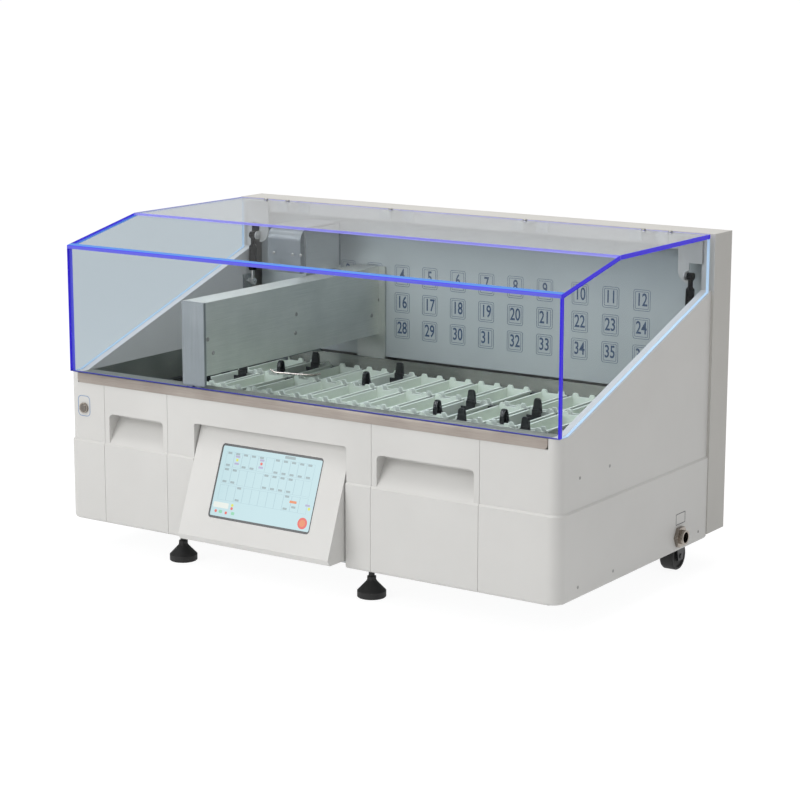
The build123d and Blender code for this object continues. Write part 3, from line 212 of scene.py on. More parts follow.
def zinc_sheet():
    """Galvanised sheet: dull silver with the crystal pattern that zinc leaves, 9 mm across."""
    material, tree, skin, where = finish("galvanised_steel_sheet", Metallic=1.0, Roughness=0.45)
    cells = add(tree, "ShaderNodeTexVoronoi", {"Scale": per(9.0)}, {"Vector": where})
    grey = add(tree, "ShaderNodeSeparateColor", links={"Color": cells.outputs["Color"]})
    two_tones(tree, skin, grey.outputs["Red"], srgb("A2A5A6"), srgb("B6B9B9"))
    vary_roughness(tree, skin, grey.outputs["Green"], 0.38, 0.55)
    return material


def anodised_aluminium():
    """Natural anodised aluminium: pale and even, with faint extrusion lines from front to back."""
    return brushed("anodised_aluminium", "Y", "B4B7B9", "C2C4C5", 0.32, 0.42, 1.4, 240.0)


def polypropylene():
    """Injection-moulded polypropylene baths: pale green and waxy."""
    material, tree, skin, where = finish("polypropylene_pale_green", Roughness=0.42, IOR=1.49)
    noise = mottle(tree, skin, where, "E1E8DB", "E9EFE2", 60.0)
    vary_roughness(tree, skin, noise.outputs["Fac"], 0.36, 0.48)
    grain(tree, skin, where, 1.5, 0.04, 0.2)
    return material


def black_nylon():
    """Glass-filled nylon: black, with the dry grain of a moulded working part."""
    material, tree, skin, where = finish("glass_filled_nylon_black", Roughness=0.4, IOR=1.53)
    noise = mottle(tree, skin, where, "17181A", "212325", 25.0)
    vary_roughness(tree, skin, noise.outputs["Fac"], 0.34, 0.5)
    grain(tree, skin, where, 0.9, 0.06, 0.3)
    return material


def black_rubber():
    """Moulded rubber of the feet and tyres: black, matt, slightly dusty."""
    material, tree, skin, where = finish("moulded_rubber_black", Roughness=0.62, IOR=1.52)
    noise = mottle(tree, skin, where, "161616", "242424", 18.0)
    vary_roughness(tree, skin, noise.outputs["Fac"], 0.55, 0.75)
    grain(tree, skin, where, 0.8, 0.08, 0.4)
    return material


def polished_steel(name, dark, light, low, high):
    """Chromed or polished steel: bright, with faint smears that soften the gloss."""
    material, tree, skin, where = finish(name, Metallic=1.0)
    noise = mottle(tree, skin, where, dark, light, 14.0)
    vary_roughness(tree, skin, noise.outputs["Fac"], low, high)
    return material


def clear_acrylic(name, tint, ior):
    """Polished cast acrylic sheet, 8 mm thick: clear, very slightly blue.
    Lamps shine through it, so that the inside is lit as it is through the real sheet. Its IOR is
    below the 1.49 of acrylic, because the photograph's dark surround mirrors less in it."""
    material, tree, skin, where = finish(name, IOR=ior, Roughness=0.0, Transmission_Weight=1.0)
    skin.inputs["Base Color"].default_value = srgb(tint)
    smear = add(tree, "ShaderNodeTexNoise", {"Scale": per(120.0), "Detail": 3.0}, {"Vector": where})
    vary_roughness(tree, skin, smear.outputs["Fac"], 0.0, 0.02)
    rays = add(tree, "ShaderNodeLightPath")
    open_way = add(tree, "ShaderNodeBsdfTransparent", {"Color": srgb("F1F5FA")})
    lamp_ray = add(tree, "ShaderNodeMath", {"operation": "MAXIMUM"},
                   {0: rays.outputs["Is Shadow Ray"], 1: rays.outputs["Is Diffuse Ray"]})
    mix = add(tree, "ShaderNodeMixShader", links={0: lamp_ray.outputs["Value"], 1: skin.outputs["BSDF"],
                                                  2: open_way.outputs["BSDF"]})
    tree.links.new(mix.outputs["Shader"], tree.nodes["Material Output"].inputs["Surface"])
    return material


def acrylic_edge(name, colour, painted_glow):
    """Polished end grain of the acrylic in its tint, with painted glow for the light that the sheet
    gathers along it.
    """
    material, tree, skin, where = finish(name, Roughness=0.18, IOR=1.2, Emission_Strength=painted_glow,
                                         Emission_Color=srgb(colour))
    noise = mottle(tree, skin, where, colour, colour, 35.0)
    vary_roughness(tree, skin, noise.outputs["Fac"], 0.12, 0.25)
    return material


def plain_print(name, colour):
    """Screen-printed ink: flat, thin, with soft patches of wear."""
    material, tree, skin, where = finish(name, Roughness=0.5, IOR=1.5)
    noise = add(tree, "ShaderNodeTexNoise", {"Scale": per(6.0), "Detail": 3.0}, {"Vector": where})
    worn = tuple(min(1.0, part * 1.25) for part in srgb(colour))
    two_tones(tree, skin, noise.outputs["Fac"], srgb(colour), worn)
    return material


def lit_pixels(name, colour):
    """Lit part of the display behind its cover glass: its own light, under a polished face."""
    material, tree, skin, where = finish(name, Roughness=0.12, IOR=1.5, Emission_Strength=0.80,
                                         Emission_Color=srgb(colour))
    noise = mottle(tree, skin, where, "0C0E10", "12151A", 40.0)
    vary_roughness(tree, skin, noise.outputs["Fac"], 0.08, 0.16)
    return material


def cover_glass():
    """Black-backed cover glass round the display: deep black, highly polished."""
    material, tree, skin, where = finish("printed_cover_glass_black", Roughness=0.06, IOR=1.52)
    noise = mottle(tree, skin, where, "1B1F24", "22272C", 60.0)
    vary_roughness(tree, skin, noise.outputs["Fac"], 0.04, 0.10)
    return material


def circuit_board():
    """Green solder-resist board in its tray."""
    material, tree, skin, where = finish("solder_resist_green", Roughness=0.35, IOR=1.5)
    noise = mottle(tree, skin, where, "1E5A38", "2C6E48", 8.0)
    vary_roughness(tree, skin, noise.outputs["Fac"], 0.3, 0.45)
    return material


FINISHES = {
    "moulded": moulded_abs(),
    "powder": powder_coat(),
    "wall": wall_enamel(),
    "trim_steel": brushed("brushed_stainless_trim", "X", "958C85", "B0A8A1", 0.30, 0.46),
    # Darker copy of the tub's brushed steel for its rear wall: painted shade.
    "tub_back_painted_shade": brushed("brushed_stainless_tub_wall_painted_shade", "X", "565A55", "6E716B", 0.34, 0.50),
    "strut": polished_steel("black_nitrided_steel", "08090A", "101113", 0.35, 0.50),
    "tub_steel": brushed("brushed_stainless_tub", "X", "858983", "9C9F98", 0.34, 0.50),
    "arm_steel": brushed("brushed_stainless_arm", "Y", "C2C6C2", "D8DAD6", 0.34, 0.50),
    "cap_steel": brushed("brushed_stainless_end_cap", "Z", "868B8E", "989DA0", 0.36, 0.50),
    "lift_steel": brushed("brushed_stainless_lift", "Z", "787D80", "929699", 0.26, 0.40),
    "zinc": zinc_sheet(),
    "aluminium": anodised_aluminium(),
    "bath": polypropylene(),
    "black": black_nylon(),
    "rubber": black_rubber(),
    "chrome": polished_steel("chromed_steel", "C8C8C6", "D6D6D4", 0.10, 0.24),
    "nickel": polished_steel("nickel_plated_brass", "8E867E", "A69E95", 0.18, 0.34),
    # The power button's steel is darkened: painted shade that stands for the dim surround the polished
    # steel mirrors.
    "switch_steel_painted_shade": polished_steel("switch_steel_darkened_painted_shade", "6C6762", "88827C", 0.30, 0.46),
    "screw": polished_steel("plated_screw_steel", "8F8F8E", "A9A9A7", 0.22, 0.38),
    "wire": polished_steel("stainless_wire", "B9AFA8", "CDC6C0", 0.18, 0.34),
    "acrylic": clear_acrylic("cast_acrylic_clear", "F5F7F8", 1.06),
    "acrylic_top": clear_acrylic("cast_acrylic_clear_top", "F4F7F9", 1.28),
    # The left side sheet gets a grey tint: painted shade for the dim surround seen through it.
    "acrylic_left_painted_shade": clear_acrylic("cast_acrylic_left_painted_shade", "BCC6CC", 1.12),
    # The end grain and joint finishes glow: painted glow along the sheets' edges, stronger or weaker edge
    # by edge.
    "edge_violet": acrylic_edge("acrylic_end_grain_violet", "3A2BD0", 0.26),
    "edge_blue": acrylic_edge("acrylic_end_grain_blue", "4676BC", 0.16),
    "edge_corner": acrylic_edge("acrylic_glued_corner", "5C5CC8", 0.18),
    "edge_joint": acrylic_edge("acrylic_glued_joint", "9C98E4", 0.25),
    "edge_pale": acrylic_edge("acrylic_end_grain_pale", "BCD3E6", 0.22),
    "edge_foot": acrylic_edge("acrylic_end_grain_foot", "4A4A9C", 0.12),
    "glass": cover_glass(),
    "board": circuit_board(),
    "ink": plain_print("screen_printed_ink_slate", "44546E"),
    "ink_blue": plain_print("screen_printed_ink_blue", "5E7FA6"),
    "ink_dark": plain_print("screen_printed_ink_dark", "3A3D42"),
    "display": lit_pixels("display_pale_cyan", "C7E8EE"),
    "display_line": lit_pixels("display_grid_line", "A9C9D4"),
    "display_tag": lit_pixels("display_grey_tag", "9FB4B8"),
    "display_white": lit_pixels("display_white_box", "F2F8F0"),
    "display_mauve": lit_pixels("display_mauve_tag", "B7B2D6"),
    "display_yellow": lit_pixels("display_yellow_dot", "E6EC4A"),
    "display_red": lit_pixels("display_red_dot", "EE5A4C"),
    "display_orange": lit_pixels("display_orange_bar", "F08A4E"),
    "display_green": lit_pixels("display_green_mark", "8EDDB2"),
}

NODE_FINISH = {
    "moulded": ["left_casing", "right_casing", "centre_panel", "screen_bezel", "left_drawer_front",
                "right_drawer_front"],
    "powder": ["column_cover", "rear_panel", "hood_brackets"],
    "wall": ["back_wall"],
    "trim_steel": ["wash_tub"],
    "arm_steel": ["arm_cover", "arm_bracket"],
    "cap_steel": ["arm_end_cap"],
    "lift_steel": ["lift_cover", "gripper", "lift_column"],
    "zinc": ["base_frame", "bay_panels", "drawer_runners", "left_drawer_tray", "right_drawer_tray",
             "hood_fittings"],
    "aluminium": ["arm_beam", "x_rail", "x_carriage", "trolley_plate"],
    "bath": ["bath_row_front", "bath_row_middle", "bath_row_rear"],
    "black": ["bath_carrier", "castor_forks", "resting_racks", "rack_rear", "rack_middle", "rack_front",
              "power_inlet", "x_drive", "y_drive", "z_drive", "drain_pipe"],
    "strut": ["left_strut_cylinder", "right_strut_cylinder"],
    "rubber": ["left_foot", "right_foot", "left_wheel", "right_wheel"],
    "acrylic": ["hood_front", "hood_slope", "hood_top", "hood_sides"],
    "chrome": ["left_strut_rod", "right_strut_rod"],
    "nickel": ["drain_fitting", "power_switch_body"],
    "switch_steel_painted_shade": ["power_button"],
    "wire": ["wire_handle"],
    "board": ["control_electronics"],
    "glass": ["touch_screen"],
}


def paint(piece, *names):
    """Gives a piece these finishes, in the order of its slots."""
    piece.data.materials.clear()
    for name in names:
        piece.data.materials.append(FINISHES[name])


for name, nodes in NODE_FINISH.items():
    for node in nodes:
        paint(NODES[node], name)


# Modelling helpers


def only(*pieces):
    """Selects these objects alone; the first is active."""
    bpy.ops.object.select_all(action="DESELECT")
    for piece in pieces:
        piece.select_set(True)
    bpy.context.view_layer.objects.active = pieces[0]


def settle(piece, angle=35.0):
    """Puts the piece's place into its mesh and smooths its shallow edges."""
    only(piece)
    bpy.ops.object.transform_apply(location=True, rotation=True, scale=True)
    bpy.ops.object.shade_smooth_by_angle(angle=radians(angle))


def merged_copy(node, name, sharp_edge_mm, segments=2):
    """A copy of a CAD node with its doubles merged and its sharp edges rounded."""
    source = NODES[node]
    piece = bpy.data.objects.new(name, source.data.copy())
    bpy.context.scene.collection.objects.link(piece)
    only(piece)
    bpy.ops.object.mode_set(mode="EDIT")
    bpy.ops.mesh.select_all(action="SELECT")
    bpy.ops.mesh.remove_doubles(threshold=0.005 * MM)
    bpy.ops.mesh.dissolve_limited(angle_limit=radians(0.5))
    bpy.ops.object.mode_set(mode="OBJECT")
    bevel = piece.modifiers.new("edge", "BEVEL")
    bevel.width = sharp_edge_mm * MM
    bevel.segments = segments
    bevel.limit_method = "ANGLE"
    bevel.angle_limit = radians(40)
    bevel.harden_normals = False
    bpy.ops.object.modifier_apply(modifier="edge")
    return piece


def paint_faces(piece, slots, slot_of):
    """Gives each face of a piece the finish that slot_of names for its normal and middle."""
    paint(piece, *slots)
    for face in piece.data.polygons:
        face.material_index = slots.index(slot_of(face.normal, face.center))


def joined(pieces, name):
    """Joins copies into one piece with this name."""
    only(*pieces)
    bpy.ops.object.join()
    pieces[0].name = name
    return pieces[0]


def top_faces(piece):
    """Goes into edit mode with the faces that look up selected."""
    only(piece)
    bpy.ops.object.mode_set(mode="EDIT")
    bpy.ops.mesh.select_all(action="DESELECT")
    bpy.ops.mesh.select_mode(type="FACE")
    mesh = bmesh.from_edit_mesh(piece.data)
    for face in mesh.faces:
        face.select_set(face.normal.z > 0.9)
    mesh.select_flush(True)
    bmesh.update_edit_mesh(piece.data)


# Clear hood


def hood_sheet(node, name, slots, slot_of, strip=None):
    """One acrylic sheet: polished broad faces, and tinted end grain with painted glow along its edges.
    A strip, given as a point and a normal of its border, is a band along one edge in which the glued
    joint behind shows through, painted with the glowing end-grain finishes."""
    piece = merged_copy(node, name, 0.8, 1)
    if strip:
        form = bmesh.new()
        form.from_mesh(piece.data)
        everything = form.verts[:] + form.edges[:] + form.faces[:]
        bmesh.ops.bisect_plane(form, geom=everything, plane_co=strip[0], plane_no=strip[1])
        form.to_mesh(piece.data)
        form.free()
    paint_faces(piece, slots, slot_of)
    settle(piece, 10.0)
    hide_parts(node)
    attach(piece, BODY_OF[node])


SLOPE_DEPTH = 217.0
SLOPE_RISE = 46.7
FRONT_STRIP = spot(0, 0, BODY_BOTTOM + 575.3)
SLOPE_STRIP = spot(0, 17.0, 0)
slope_normal = Vector((0, -SLOPE_RISE, SLOPE_DEPTH)).normalized()


def front_slot(normal, middle):
    """Finish of a face of the front sheet."""
    if normal.y < -0.98 and middle.z > FRONT_STRIP.z:
        return "edge_corner"
    if abs(normal.y) > 0.98:
        return "acrylic"
    return "edge_foot" if normal.z < -0.5 else "edge_violet"


def slope_slot(normal, middle):
    """Finish of a face of the sloping sheet."""
    if normal.dot(slope_normal) > 0.98 and middle.y < SLOPE_STRIP.y:
        return "edge_blue"
    if abs(normal.dot(slope_normal)) > 0.98:
        return "acrylic"
    return "edge_joint" if normal.y > 0.5 else "edge_violet"


def top_slot(normal, middle):
    """Finish of a face of the top sheet."""
    if abs(normal.z) > 0.98:
        return "acrylic_top"
    return "edge_joint" if abs(normal.y) > 0.5 else "edge_violet"


def side_slot(normal, middle):
    """Finish of a face of the two side sheets."""
    if abs(normal.x) > 0.98:
        return "acrylic_left_painted_shade" if middle.x < 0 else "acrylic"
    if normal.z < -0.3 or normal.y > 0.5:
        return "edge_pale"
    if middle.x > 0:
        return "edge_violet"
    return "edge_blue" if normal.y > -0.5 else "edge_corner"


hood_sheet("hood_front", "hood_front_sheet",
           ["acrylic", "edge_violet", "edge_corner", "edge_foot"], front_slot, (FRONT_STRIP, (0, 0, 1)))
hood_sheet("hood_slope", "hood_slope_sheet",
           ["acrylic", "edge_violet", "edge_joint", "edge_blue"], slope_slot, (SLOPE_STRIP, (0, 1, 0)))
hood_sheet("hood_top", "hood_top_sheet",
           ["acrylic_top", "edge_violet", "edge_joint"], top_slot)
hood_sheet("hood_sides", "hood_side_sheets",
           ["acrylic", "acrylic_left_painted_shade", "edge_violet", "edge_pale", "edge_blue", "edge_corner"], side_slot)


# Tub

TRIM_BACK = spot(0, 46, 0).y
REAR_WALL = spot(0, 560, 0).y


def tub_slot(normal, middle):
    """Finish of a face of the tub: its rear wall gets a darker copy of the brushed steel, painted shade
    where the tub shades itself.
    """
    if middle.y < TRIM_BACK:
        return "trim_steel"
    return "tub_back_painted_shade" if middle.y > REAR_WALL and normal.y < -0.5 else "tub_steel"


tub = merged_copy("wash_tub", "steel_tub", 0.5)
paint_faces(tub, ["tub_steel", "trim_steel", "tub_back_painted_shade"], tub_slot)
settle(tub)
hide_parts("wash_tub")
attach(tub, "chassis")


# Brackets with their screws

SCREW_SEAT = spot(0, 0, HOOD_TOP + 0.1).z


def bracket_slot(normal, middle):
    """Finish of a face of the brackets, whose screw heads stand on top of the hood."""
    return "screw" if middle.z > SCREW_SEAT else "powder"


brackets = merged_copy("hood_brackets", "strut_brackets", 0.3)
paint_faces(brackets, ["powder", "screw"], bracket_slot)
settle(brackets)
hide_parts("hood_brackets")
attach(brackets, "hood")


# Screws


def dome_screw(place, face, head_mm, rise_mm, body, name):
    """Dome-headed screw with a round socket, its head turned to face out along a direction."""
    bpy.ops.mesh.primitive_cylinder_add(vertices=24, radius=head_mm / 2 * MM, depth=rise_mm * MM)
    piece = bpy.context.active_object
    piece.name = name
    top_faces(piece)
    bpy.ops.mesh.inset(thickness=head_mm * 0.14 * MM)
    bpy.ops.transform.translate(value=(0, 0, rise_mm * 0.35 * MM))
    bpy.ops.mesh.inset(thickness=head_mm * 0.14 * MM)
    bpy.ops.mesh.inset(thickness=head_mm * 0.01 * MM)
    bpy.ops.transform.translate(value=(0, 0, -rise_mm * 0.6 * MM))
    bpy.ops.object.mode_set(mode="OBJECT")
    piece.rotation_euler = Vector(face).to_track_quat("Z", "Y").to_euler()
    piece.location = place
    paint(piece, "screw")
    settle(piece)
    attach(piece, body)


# Each place below is a depth and a height on the face that the screws sit on.
CASING_SCREWS = [(80, 297), (194, 298), (73, 89), (209, 89), (569, 88)]
for i, (y, z) in enumerate(CASING_SCREWS):
    for side in (-1, 1):
        x = side * (CASING_SIDE - (PANEL_INSET if z > SKIRT_TOP else 0.0))
        dome_screw(spot(x, y, z), (side, 0, 0), 6.5, 0.8, "chassis", f"casing_screw_{i}_{side + 1}")

ARM_RIGHT = -239.0
ARM_SCREWS = [(326, 493), (323, 453), (27, 482), (44, 452), (636, 484), (607, 452)]
for i, (y, z) in enumerate(ARM_SCREWS):
    dome_screw(spot(ARM_RIGHT, y, z), (1, 0, 0), 9.0, 2.0, "gantry", f"arm_screw_{i}")

LIFT_FRONT = 428.0
LIFT_SCREW_HEIGHT = 600.0
for i, x in enumerate((-375, -324, -302)):
    dome_screw(spot(x, LIFT_FRONT, LIFT_SCREW_HEIGHT), (0, -1, 0), 6.5, 1.6, "trolley", f"lift_screw_{i}")


# Flat drawings, made on the XY plane and then turned to their face


def stretch(piece, x, y):
    """Scales a drawing in its own mesh."""
    piece.scale = (x, y, 1)
    only(piece)
    bpy.ops.object.transform_apply(location=False, rotation=False, scale=True)


def rounded_patch(width, height, corner, segments, name):
    """A rounded rectangle, left in edit mode with all of it selected."""
    bpy.ops.mesh.primitive_plane_add(size=1.0)
    piece = bpy.context.active_object
    piece.name = name
    stretch(piece, width * MM, height * MM)
    bpy.ops.object.mode_set(mode="EDIT")
    bpy.ops.mesh.select_all(action="SELECT")
    bpy.ops.mesh.bevel(offset=corner * MM, segments=segments, affect="VERTICES")
    bpy.ops.mesh.select_all(action="SELECT")
    return piece


def ring(width, height, line, corner, name):
    """A rounded frame line."""
    piece = rounded_patch(width, height, corner, 4, name)
    bpy.ops.mesh.inset(thickness=line * MM)
    bpy.ops.mesh.delete(type="FACE")
    bpy.ops.object.mode_set(mode="OBJECT")
    return piece


DIGIT_SHARE = 0.73
STROKE_GAIN = 0.4


def digits(text, height, name):
    """A number as flat mesh, centred. A digit fills DIGIT_SHARE of the font's size."""
    curve = bpy.data.curves.new(name, "FONT")
    curve.body = text
    curve.size = height * MM / DIGIT_SHARE
    curve.align_x = "CENTER"
    curve.align_y = "CENTER"
    curve.resolution_u = 3
    curve.offset = STROKE_GAIN * MM
    piece = bpy.data.objects.new(name, curve)
    bpy.context.scene.collection.objects.link(piece)
    only(piece)
    bpy.ops.object.convert(target="MESH")
    return bpy.context.active_object


def decal(pieces, place, turn, name, thick_mm=0.25):
    """Joins flat drawn pieces, gives them the thickness of ink and puts them in place."""
    piece = joined(pieces, name) if len(pieces) > 1 else pieces[0]
    piece.name = name
    solid = piece.modifiers.new("ink", "SOLIDIFY")
    solid.thickness = thick_mm * MM
    solid.offset = 1.0
    only(piece)
    bpy.ops.object.modifier_apply(modifier="ink")
    piece.rotation_euler = turn
    piece.location = place
    return piece


FACING_FRONT = (pi / 2, 0, 0)
FACING_RIGHT = (pi / 2, 0, pi / 2)


# Numbers on the back wall

WALL_FRONT = 640.0
INK_GAP = 0.05
LABEL_COLUMNS = 12
LABEL_PITCH = 73.4
LABEL_FIRST = -399.2
WIDE_GAP_COLUMN = 9
WIDE_GAP = 11.0
LABEL_ROWS = (541.0, 482.0, 424.0)


def wall_label(number):
    """One framed number."""
    row, column = divmod(number - 1, LABEL_COLUMNS)
    x = LABEL_FIRST + column * LABEL_PITCH + (WIDE_GAP if column >= WIDE_GAP_COLUMN else 0)
    outer = ring(39.5, 45.0, 0.8, 5.0, f"label_outer_{number}")
    inner = ring(31.0, 36.5, 0.8, 2.0, f"label_inner_{number}")
    text = digits(str(number), 24.0, f"label_digits_{number}")
    stretch(text, 0.8, 1.15)
    place = spot(x, WALL_FRONT - INK_GAP, LABEL_ROWS[row])
    return decal([outer, inner, text], place, FACING_FRONT, f"label_{number}")


labels = [wall_label(number) for number in range(1, LABEL_COLUMNS * len(LABEL_ROWS) + 1)]
numbers = joined(labels, "wall_numbers")
paint(numbers, "ink")
settle(numbers)
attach(numbers, "chassis")


# Blank label frames

button_frame = decal([ring(33.0, 44.0, 1.2, 9.0, "button_frame")], spot(-556.5, PANEL_INSET, 312.0),
                     FACING_FRONT, "button_label_frame")
paint(button_frame, "ink_blue")
settle(button_frame)
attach(button_frame, "chassis")
drain_frame = decal([ring(40.0, 23.0, 1.3, 0.5, "drain_frame")], spot(CASING_SIDE, 488.0, 133.5),
                    FACING_RIGHT, "drain_label_frame")
paint(drain_frame, "ink_dark")
settle(drain_frame)
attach(drain_frame, "chassis")


# Touch screen

SCREEN_WIDTH = 252.0
SCREEN_LENGTH = 152.0
SCREEN_DOWN = 112.0
SCREEN_X = -66.0
BEZEL_TILT = radians(20.7)
BEZEL_TOP_Y = 26.0
BEZEL_TOP_Z = 310.0
DISPLAY_WIDTH = SCREEN_WIDTH - 6.0
DISPLAY_LENGTH = SCREEN_LENGTH - 9.0
FIRST_LAYER = 0.02
LAYER = 0.12
DISPLAY_SHIFT = 1.0
screen_turn = (pi / 2 - BEZEL_TILT, 0, 0)
screen_middle = spot(SCREEN_X, BEZEL_TOP_Y - SCREEN_DOWN * sin(BEZEL_TILT),
                     BEZEL_TOP_Z - SCREEN_DOWN * cos(BEZEL_TILT))
out_of_screen = Vector((0, -cos(BEZEL_TILT), sin(BEZEL_TILT)))


def chip(x, y, width, height, corner, name):
    """Rounded patch of the picture, centred x from the display's left edge and y down from its top."""
    piece = rounded_patch(width, height, corner, 5, name)
    bpy.ops.transform.translate(value=((x - DISPLAY_WIDTH / 2) * MM, (DISPLAY_LENGTH / 2 - y) * MM, 0))
    bpy.ops.object.mode_set(mode="OBJECT")
    return piece


def on_display(pieces, layer, finish_name, name):
    """Lays flat patches on the glass, one layer above the last."""
    lift = out_of_screen * (FIRST_LAYER + LAYER * layer) * MM
    shift = Vector((DISPLAY_SHIFT * MM, 0, 0))
    piece = decal(pieces, screen_middle + lift + shift, screen_turn, name, 0.1)
    paint(piece, finish_name)
    settle(piece)
    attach(piece, "chassis")


CELL_COLUMNS = 11
CELL_ROWS = 3
CELL_PITCH = 20.0
CELL_HEIGHT = 31.0
CELL_ROW_PITCH = 34.0
FIRST_CELL = 19.0
FIRST_CELL_ROW = 26.0
GRID_SHIFT = -2.0


def cell_grid():
    """Outlines of the rows of stations."""
    rows = []
    for row in range(CELL_ROWS):
        bpy.ops.mesh.primitive_grid_add(x_subdivisions=CELL_COLUMNS, y_subdivisions=1, size=1.0)
        piece = bpy.context.active_object
        stretch(piece, CELL_PITCH * CELL_COLUMNS * MM, CELL_HEIGHT * MM)
        down = DISPLAY_LENGTH / 2 - FIRST_CELL_ROW - CELL_ROW_PITCH * row
        bpy.ops.object.mode_set(mode="EDIT")
        bpy.ops.mesh.select_all(action="SELECT")
        bpy.ops.transform.translate(value=(GRID_SHIFT * MM, down * MM, 0))
        bpy.ops.mesh.inset(thickness=0.45 * MM, use_individual=True)
        bpy.ops.mesh.delete(type="FACE")
        bpy.ops.object.mode_set(mode="OBJECT")
        rows.append(piece)
    return rows


# The tags of each line: how far down it is, and the cells that have one.
TAG_LINES = [
    (13.5, (0, 1, 2, 3, 4, 6, 7, 8, 9, 10)),
    (38.0, (0, 2, 3, 6, 7, 8, 9, 10)),
    (47.0, (0, 1, 5, 6, 7, 8)),
    (71.5, (0, 1, 5, 6, 7, 8)),
    (81.0, (2, 8)),
    (105.5, (2, 8)),
    (100.0, (9,)),
]
TAG = (10.0, 4.2, 0.6)
MAUVE_TAG = (11.0, 4.0, 0.6)
DOT = (6.0, 6.0, 2.9)
MARK = (8.0, 6.0, 1.5)
MAUVE_PLACES = ((40, 18.5), (40, 33), (101, 18.5), (101, 33), (232, 92))
YELLOW_PLACES = ((40, 25.5), (51, 117), (237, 98))
RED_PLACES = ((101, 25.5), (51, 123.5), (13, 133), (39, 134))
MARK_PLACES = ((25, 133), (56, 133))
ROUND_BUTTON = (228.0, 128.0)


def chips(places, form, name):
    """The same patch at each of these places."""
    return [chip(x, y, *form, name) for x, y in places]


tag_places = [(FIRST_CELL + CELL_PITCH * cell, y) for y, cells in TAG_LINES for cell in cells]
backlight = chip(DISPLAY_WIDTH / 2, DISPLAY_LENGTH / 2, DISPLAY_WIDTH, DISPLAY_LENGTH, 3.0, "backlight")
on_display([backlight], 0, "display", "display_backlight")
on_display(cell_grid(), 1, "display_line", "display_cells")
on_display(chips(tag_places, TAG, "tag") + [chip(168.0, 4.5, 26.0, 5.5, 0.8, "tag")], 1, "display_tag",
           "display_tags")
on_display(chips(MAUVE_PLACES, MAUVE_TAG, "mauve"), 1, "display_mauve", "display_mauve_tags")
on_display([chip(23.0, 120.0, 38.0, 11.0, 2.0, "box")], 1, "display_white", "display_box")
on_display(chips(YELLOW_PLACES, DOT, "dot"), 2, "display_yellow", "display_yellow_dots")
on_display(chips(RED_PLACES, DOT, "dot"), 2, "display_red", "display_red_dots")
on_display([chip(196.0, 90.0, 17.0, 5.0, 0.8, "bar")], 2, "display_orange", "display_orange_bar")
on_display(chips(MARK_PLACES, MARK, "mark"), 2, "display_green", "display_green_marks")
on_display([chip(*ROUND_BUTTON, 23.0, 23.0, 11.4, "disc")], 1, "display_red", "display_round_button")
on_display([chip(*ROUND_BUTTON, 14.0, 14.0, 6.9, "disc")], 2, "display_orange",
           "display_round_button_middle")


# Studio


FLOOR_SIZE = 400.0
FLOOR_GAP = 0.0002
FLOOR_GLOW = 1.14
FLOOR_GLOW_SHARE = 0.8
SKY_LIGHT = 0.55
SKY_SEEN = 1.0
# Name, place, target, size in metres and power in watts.
LAMPS = [
    ("front_softbox", (-1.6, -3.6, 2.2), (0, 0, 0.3), 2.4, 58.0),
    ("top_softbox", (-0.4, -0.4, 3.2), (0, 0, 0.3), 3.0, 42.0),
    ("inner_softbox", (0.3, -0.3, 2.4), (-0.5, 0, 0.4), 1.0, 16.0),
]


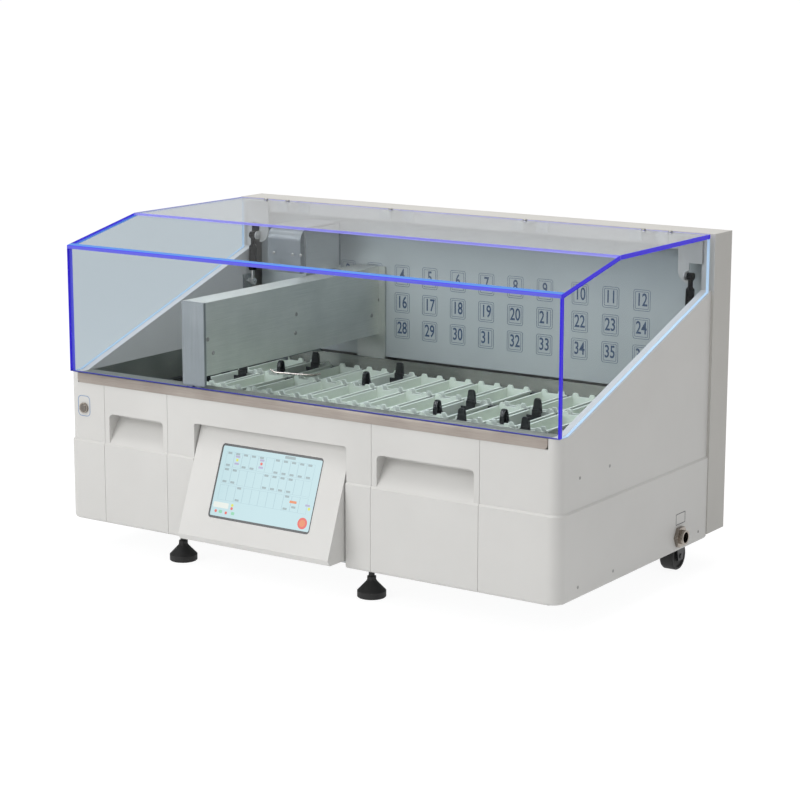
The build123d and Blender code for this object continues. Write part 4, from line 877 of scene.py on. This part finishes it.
def studio_floor():
    """Pale floor that the camera, reflections and clear sheets see as nearly white."""
    bpy.ops.mesh.primitive_plane_add(size=FLOOR_SIZE, location=(0, 0, -FLOOR_GAP))
    floor = bpy.context.active_object
    floor.name = "studio_floor"
    material, tree, skin, where = finish("studio_paper", Roughness=0.9)
    mottle(tree, skin, where, "F2F2F2", "F6F6F6", 900.0)
    rays = add(tree, "ShaderNodeLightPath")
    seen = add(tree, "ShaderNodeMath", {"operation": "MAXIMUM"},
               {0: rays.outputs["Is Camera Ray"], 1: rays.outputs["Is Glossy Ray"]})
    seen = add(tree, "ShaderNodeMath", {"operation": "MAXIMUM"},
               {0: seen.outputs["Value"], 1: rays.outputs["Is Transmission Ray"]})
    share = add(tree, "ShaderNodeMath", {"operation": "MULTIPLY", 1: FLOOR_GLOW_SHARE},
                {0: seen.outputs["Value"]})
    white = add(tree, "ShaderNodeEmission", {"Color": (1, 1, 1, 1), "Strength": FLOOR_GLOW})
    mix = add(tree, "ShaderNodeMixShader", links={0: share.outputs["Value"], 1: skin.outputs["BSDF"],
                                                  2: white.outputs["Emission"]})
    tree.links.new(mix.outputs["Shader"], tree.nodes["Material Output"].inputs["Surface"])
    floor.data.materials.append(material)


def studio_surround():
    """White all round for the camera and dimmer as a light."""
    world = bpy.data.worlds.new("studio_world")
    bpy.context.scene.world = world
    world.use_nodes = True
    tree = world.node_tree
    rays = add(tree, "ShaderNodeLightPath")
    seen = add(tree, "ShaderNodeMath", {"operation": "MAXIMUM"},
               {0: rays.outputs["Is Camera Ray"], 1: rays.outputs["Is Transmission Ray"]})
    level = add(tree, "ShaderNodeMapRange", {"To Min": SKY_LIGHT, "To Max": SKY_SEEN},
                {"Value": seen.outputs["Value"]})
    sky = tree.nodes["Background"]
    sky.inputs["Color"].default_value = (1, 1, 1, 1)
    tree.links.new(level.outputs["Result"], sky.inputs["Strength"])


def studio_lamps():
    """Soft square lamps, each turned to its target."""
    for name, place, target, size, power in LAMPS:
        lamp = bpy.data.lights.new(name, "AREA")
        lamp.shape = "SQUARE"
        lamp.size = size
        lamp.energy = power
        holder = bpy.data.objects.new(name, lamp)
        bpy.context.scene.collection.objects.link(holder)
        holder.location = place
        holder.rotation_euler = (Vector(target) - Vector(place)).to_track_quat("-Z", "Y").to_euler()


CAMERA_PLACE = spot(2588.2, -3457.6, 1267.9)
CAMERA_BACK = Vector((0.54922, -0.81151, 0.19955))
CAMERA_ROLL = 0.08
CAMERA_LENS = 101.08
CAMERA_SENSOR = 36.0


def camera():
    """Camera where the photograph was taken from."""
    data = bpy.data.cameras.new("camera")
    data.lens = CAMERA_LENS
    data.sensor_width = CAMERA_SENSOR
    holder = bpy.data.objects.new("camera", data)
    bpy.context.scene.collection.objects.link(holder)
    right = Vector((0, 0, 1)).cross(CAMERA_BACK).normalized()
    up = CAMERA_BACK.cross(right)
    turn = Matrix((right, up, CAMERA_BACK)).transposed()
    holder.rotation_euler = (Matrix.Rotation(radians(CAMERA_ROLL), 3, CAMERA_BACK) @ turn).to_euler()
    holder.location = CAMERA_PLACE
    bpy.context.scene.camera = holder


studio_floor()
studio_surround()
studio_lamps()
camera()
bpy.context.scene.view_settings.view_transform = "Standard"
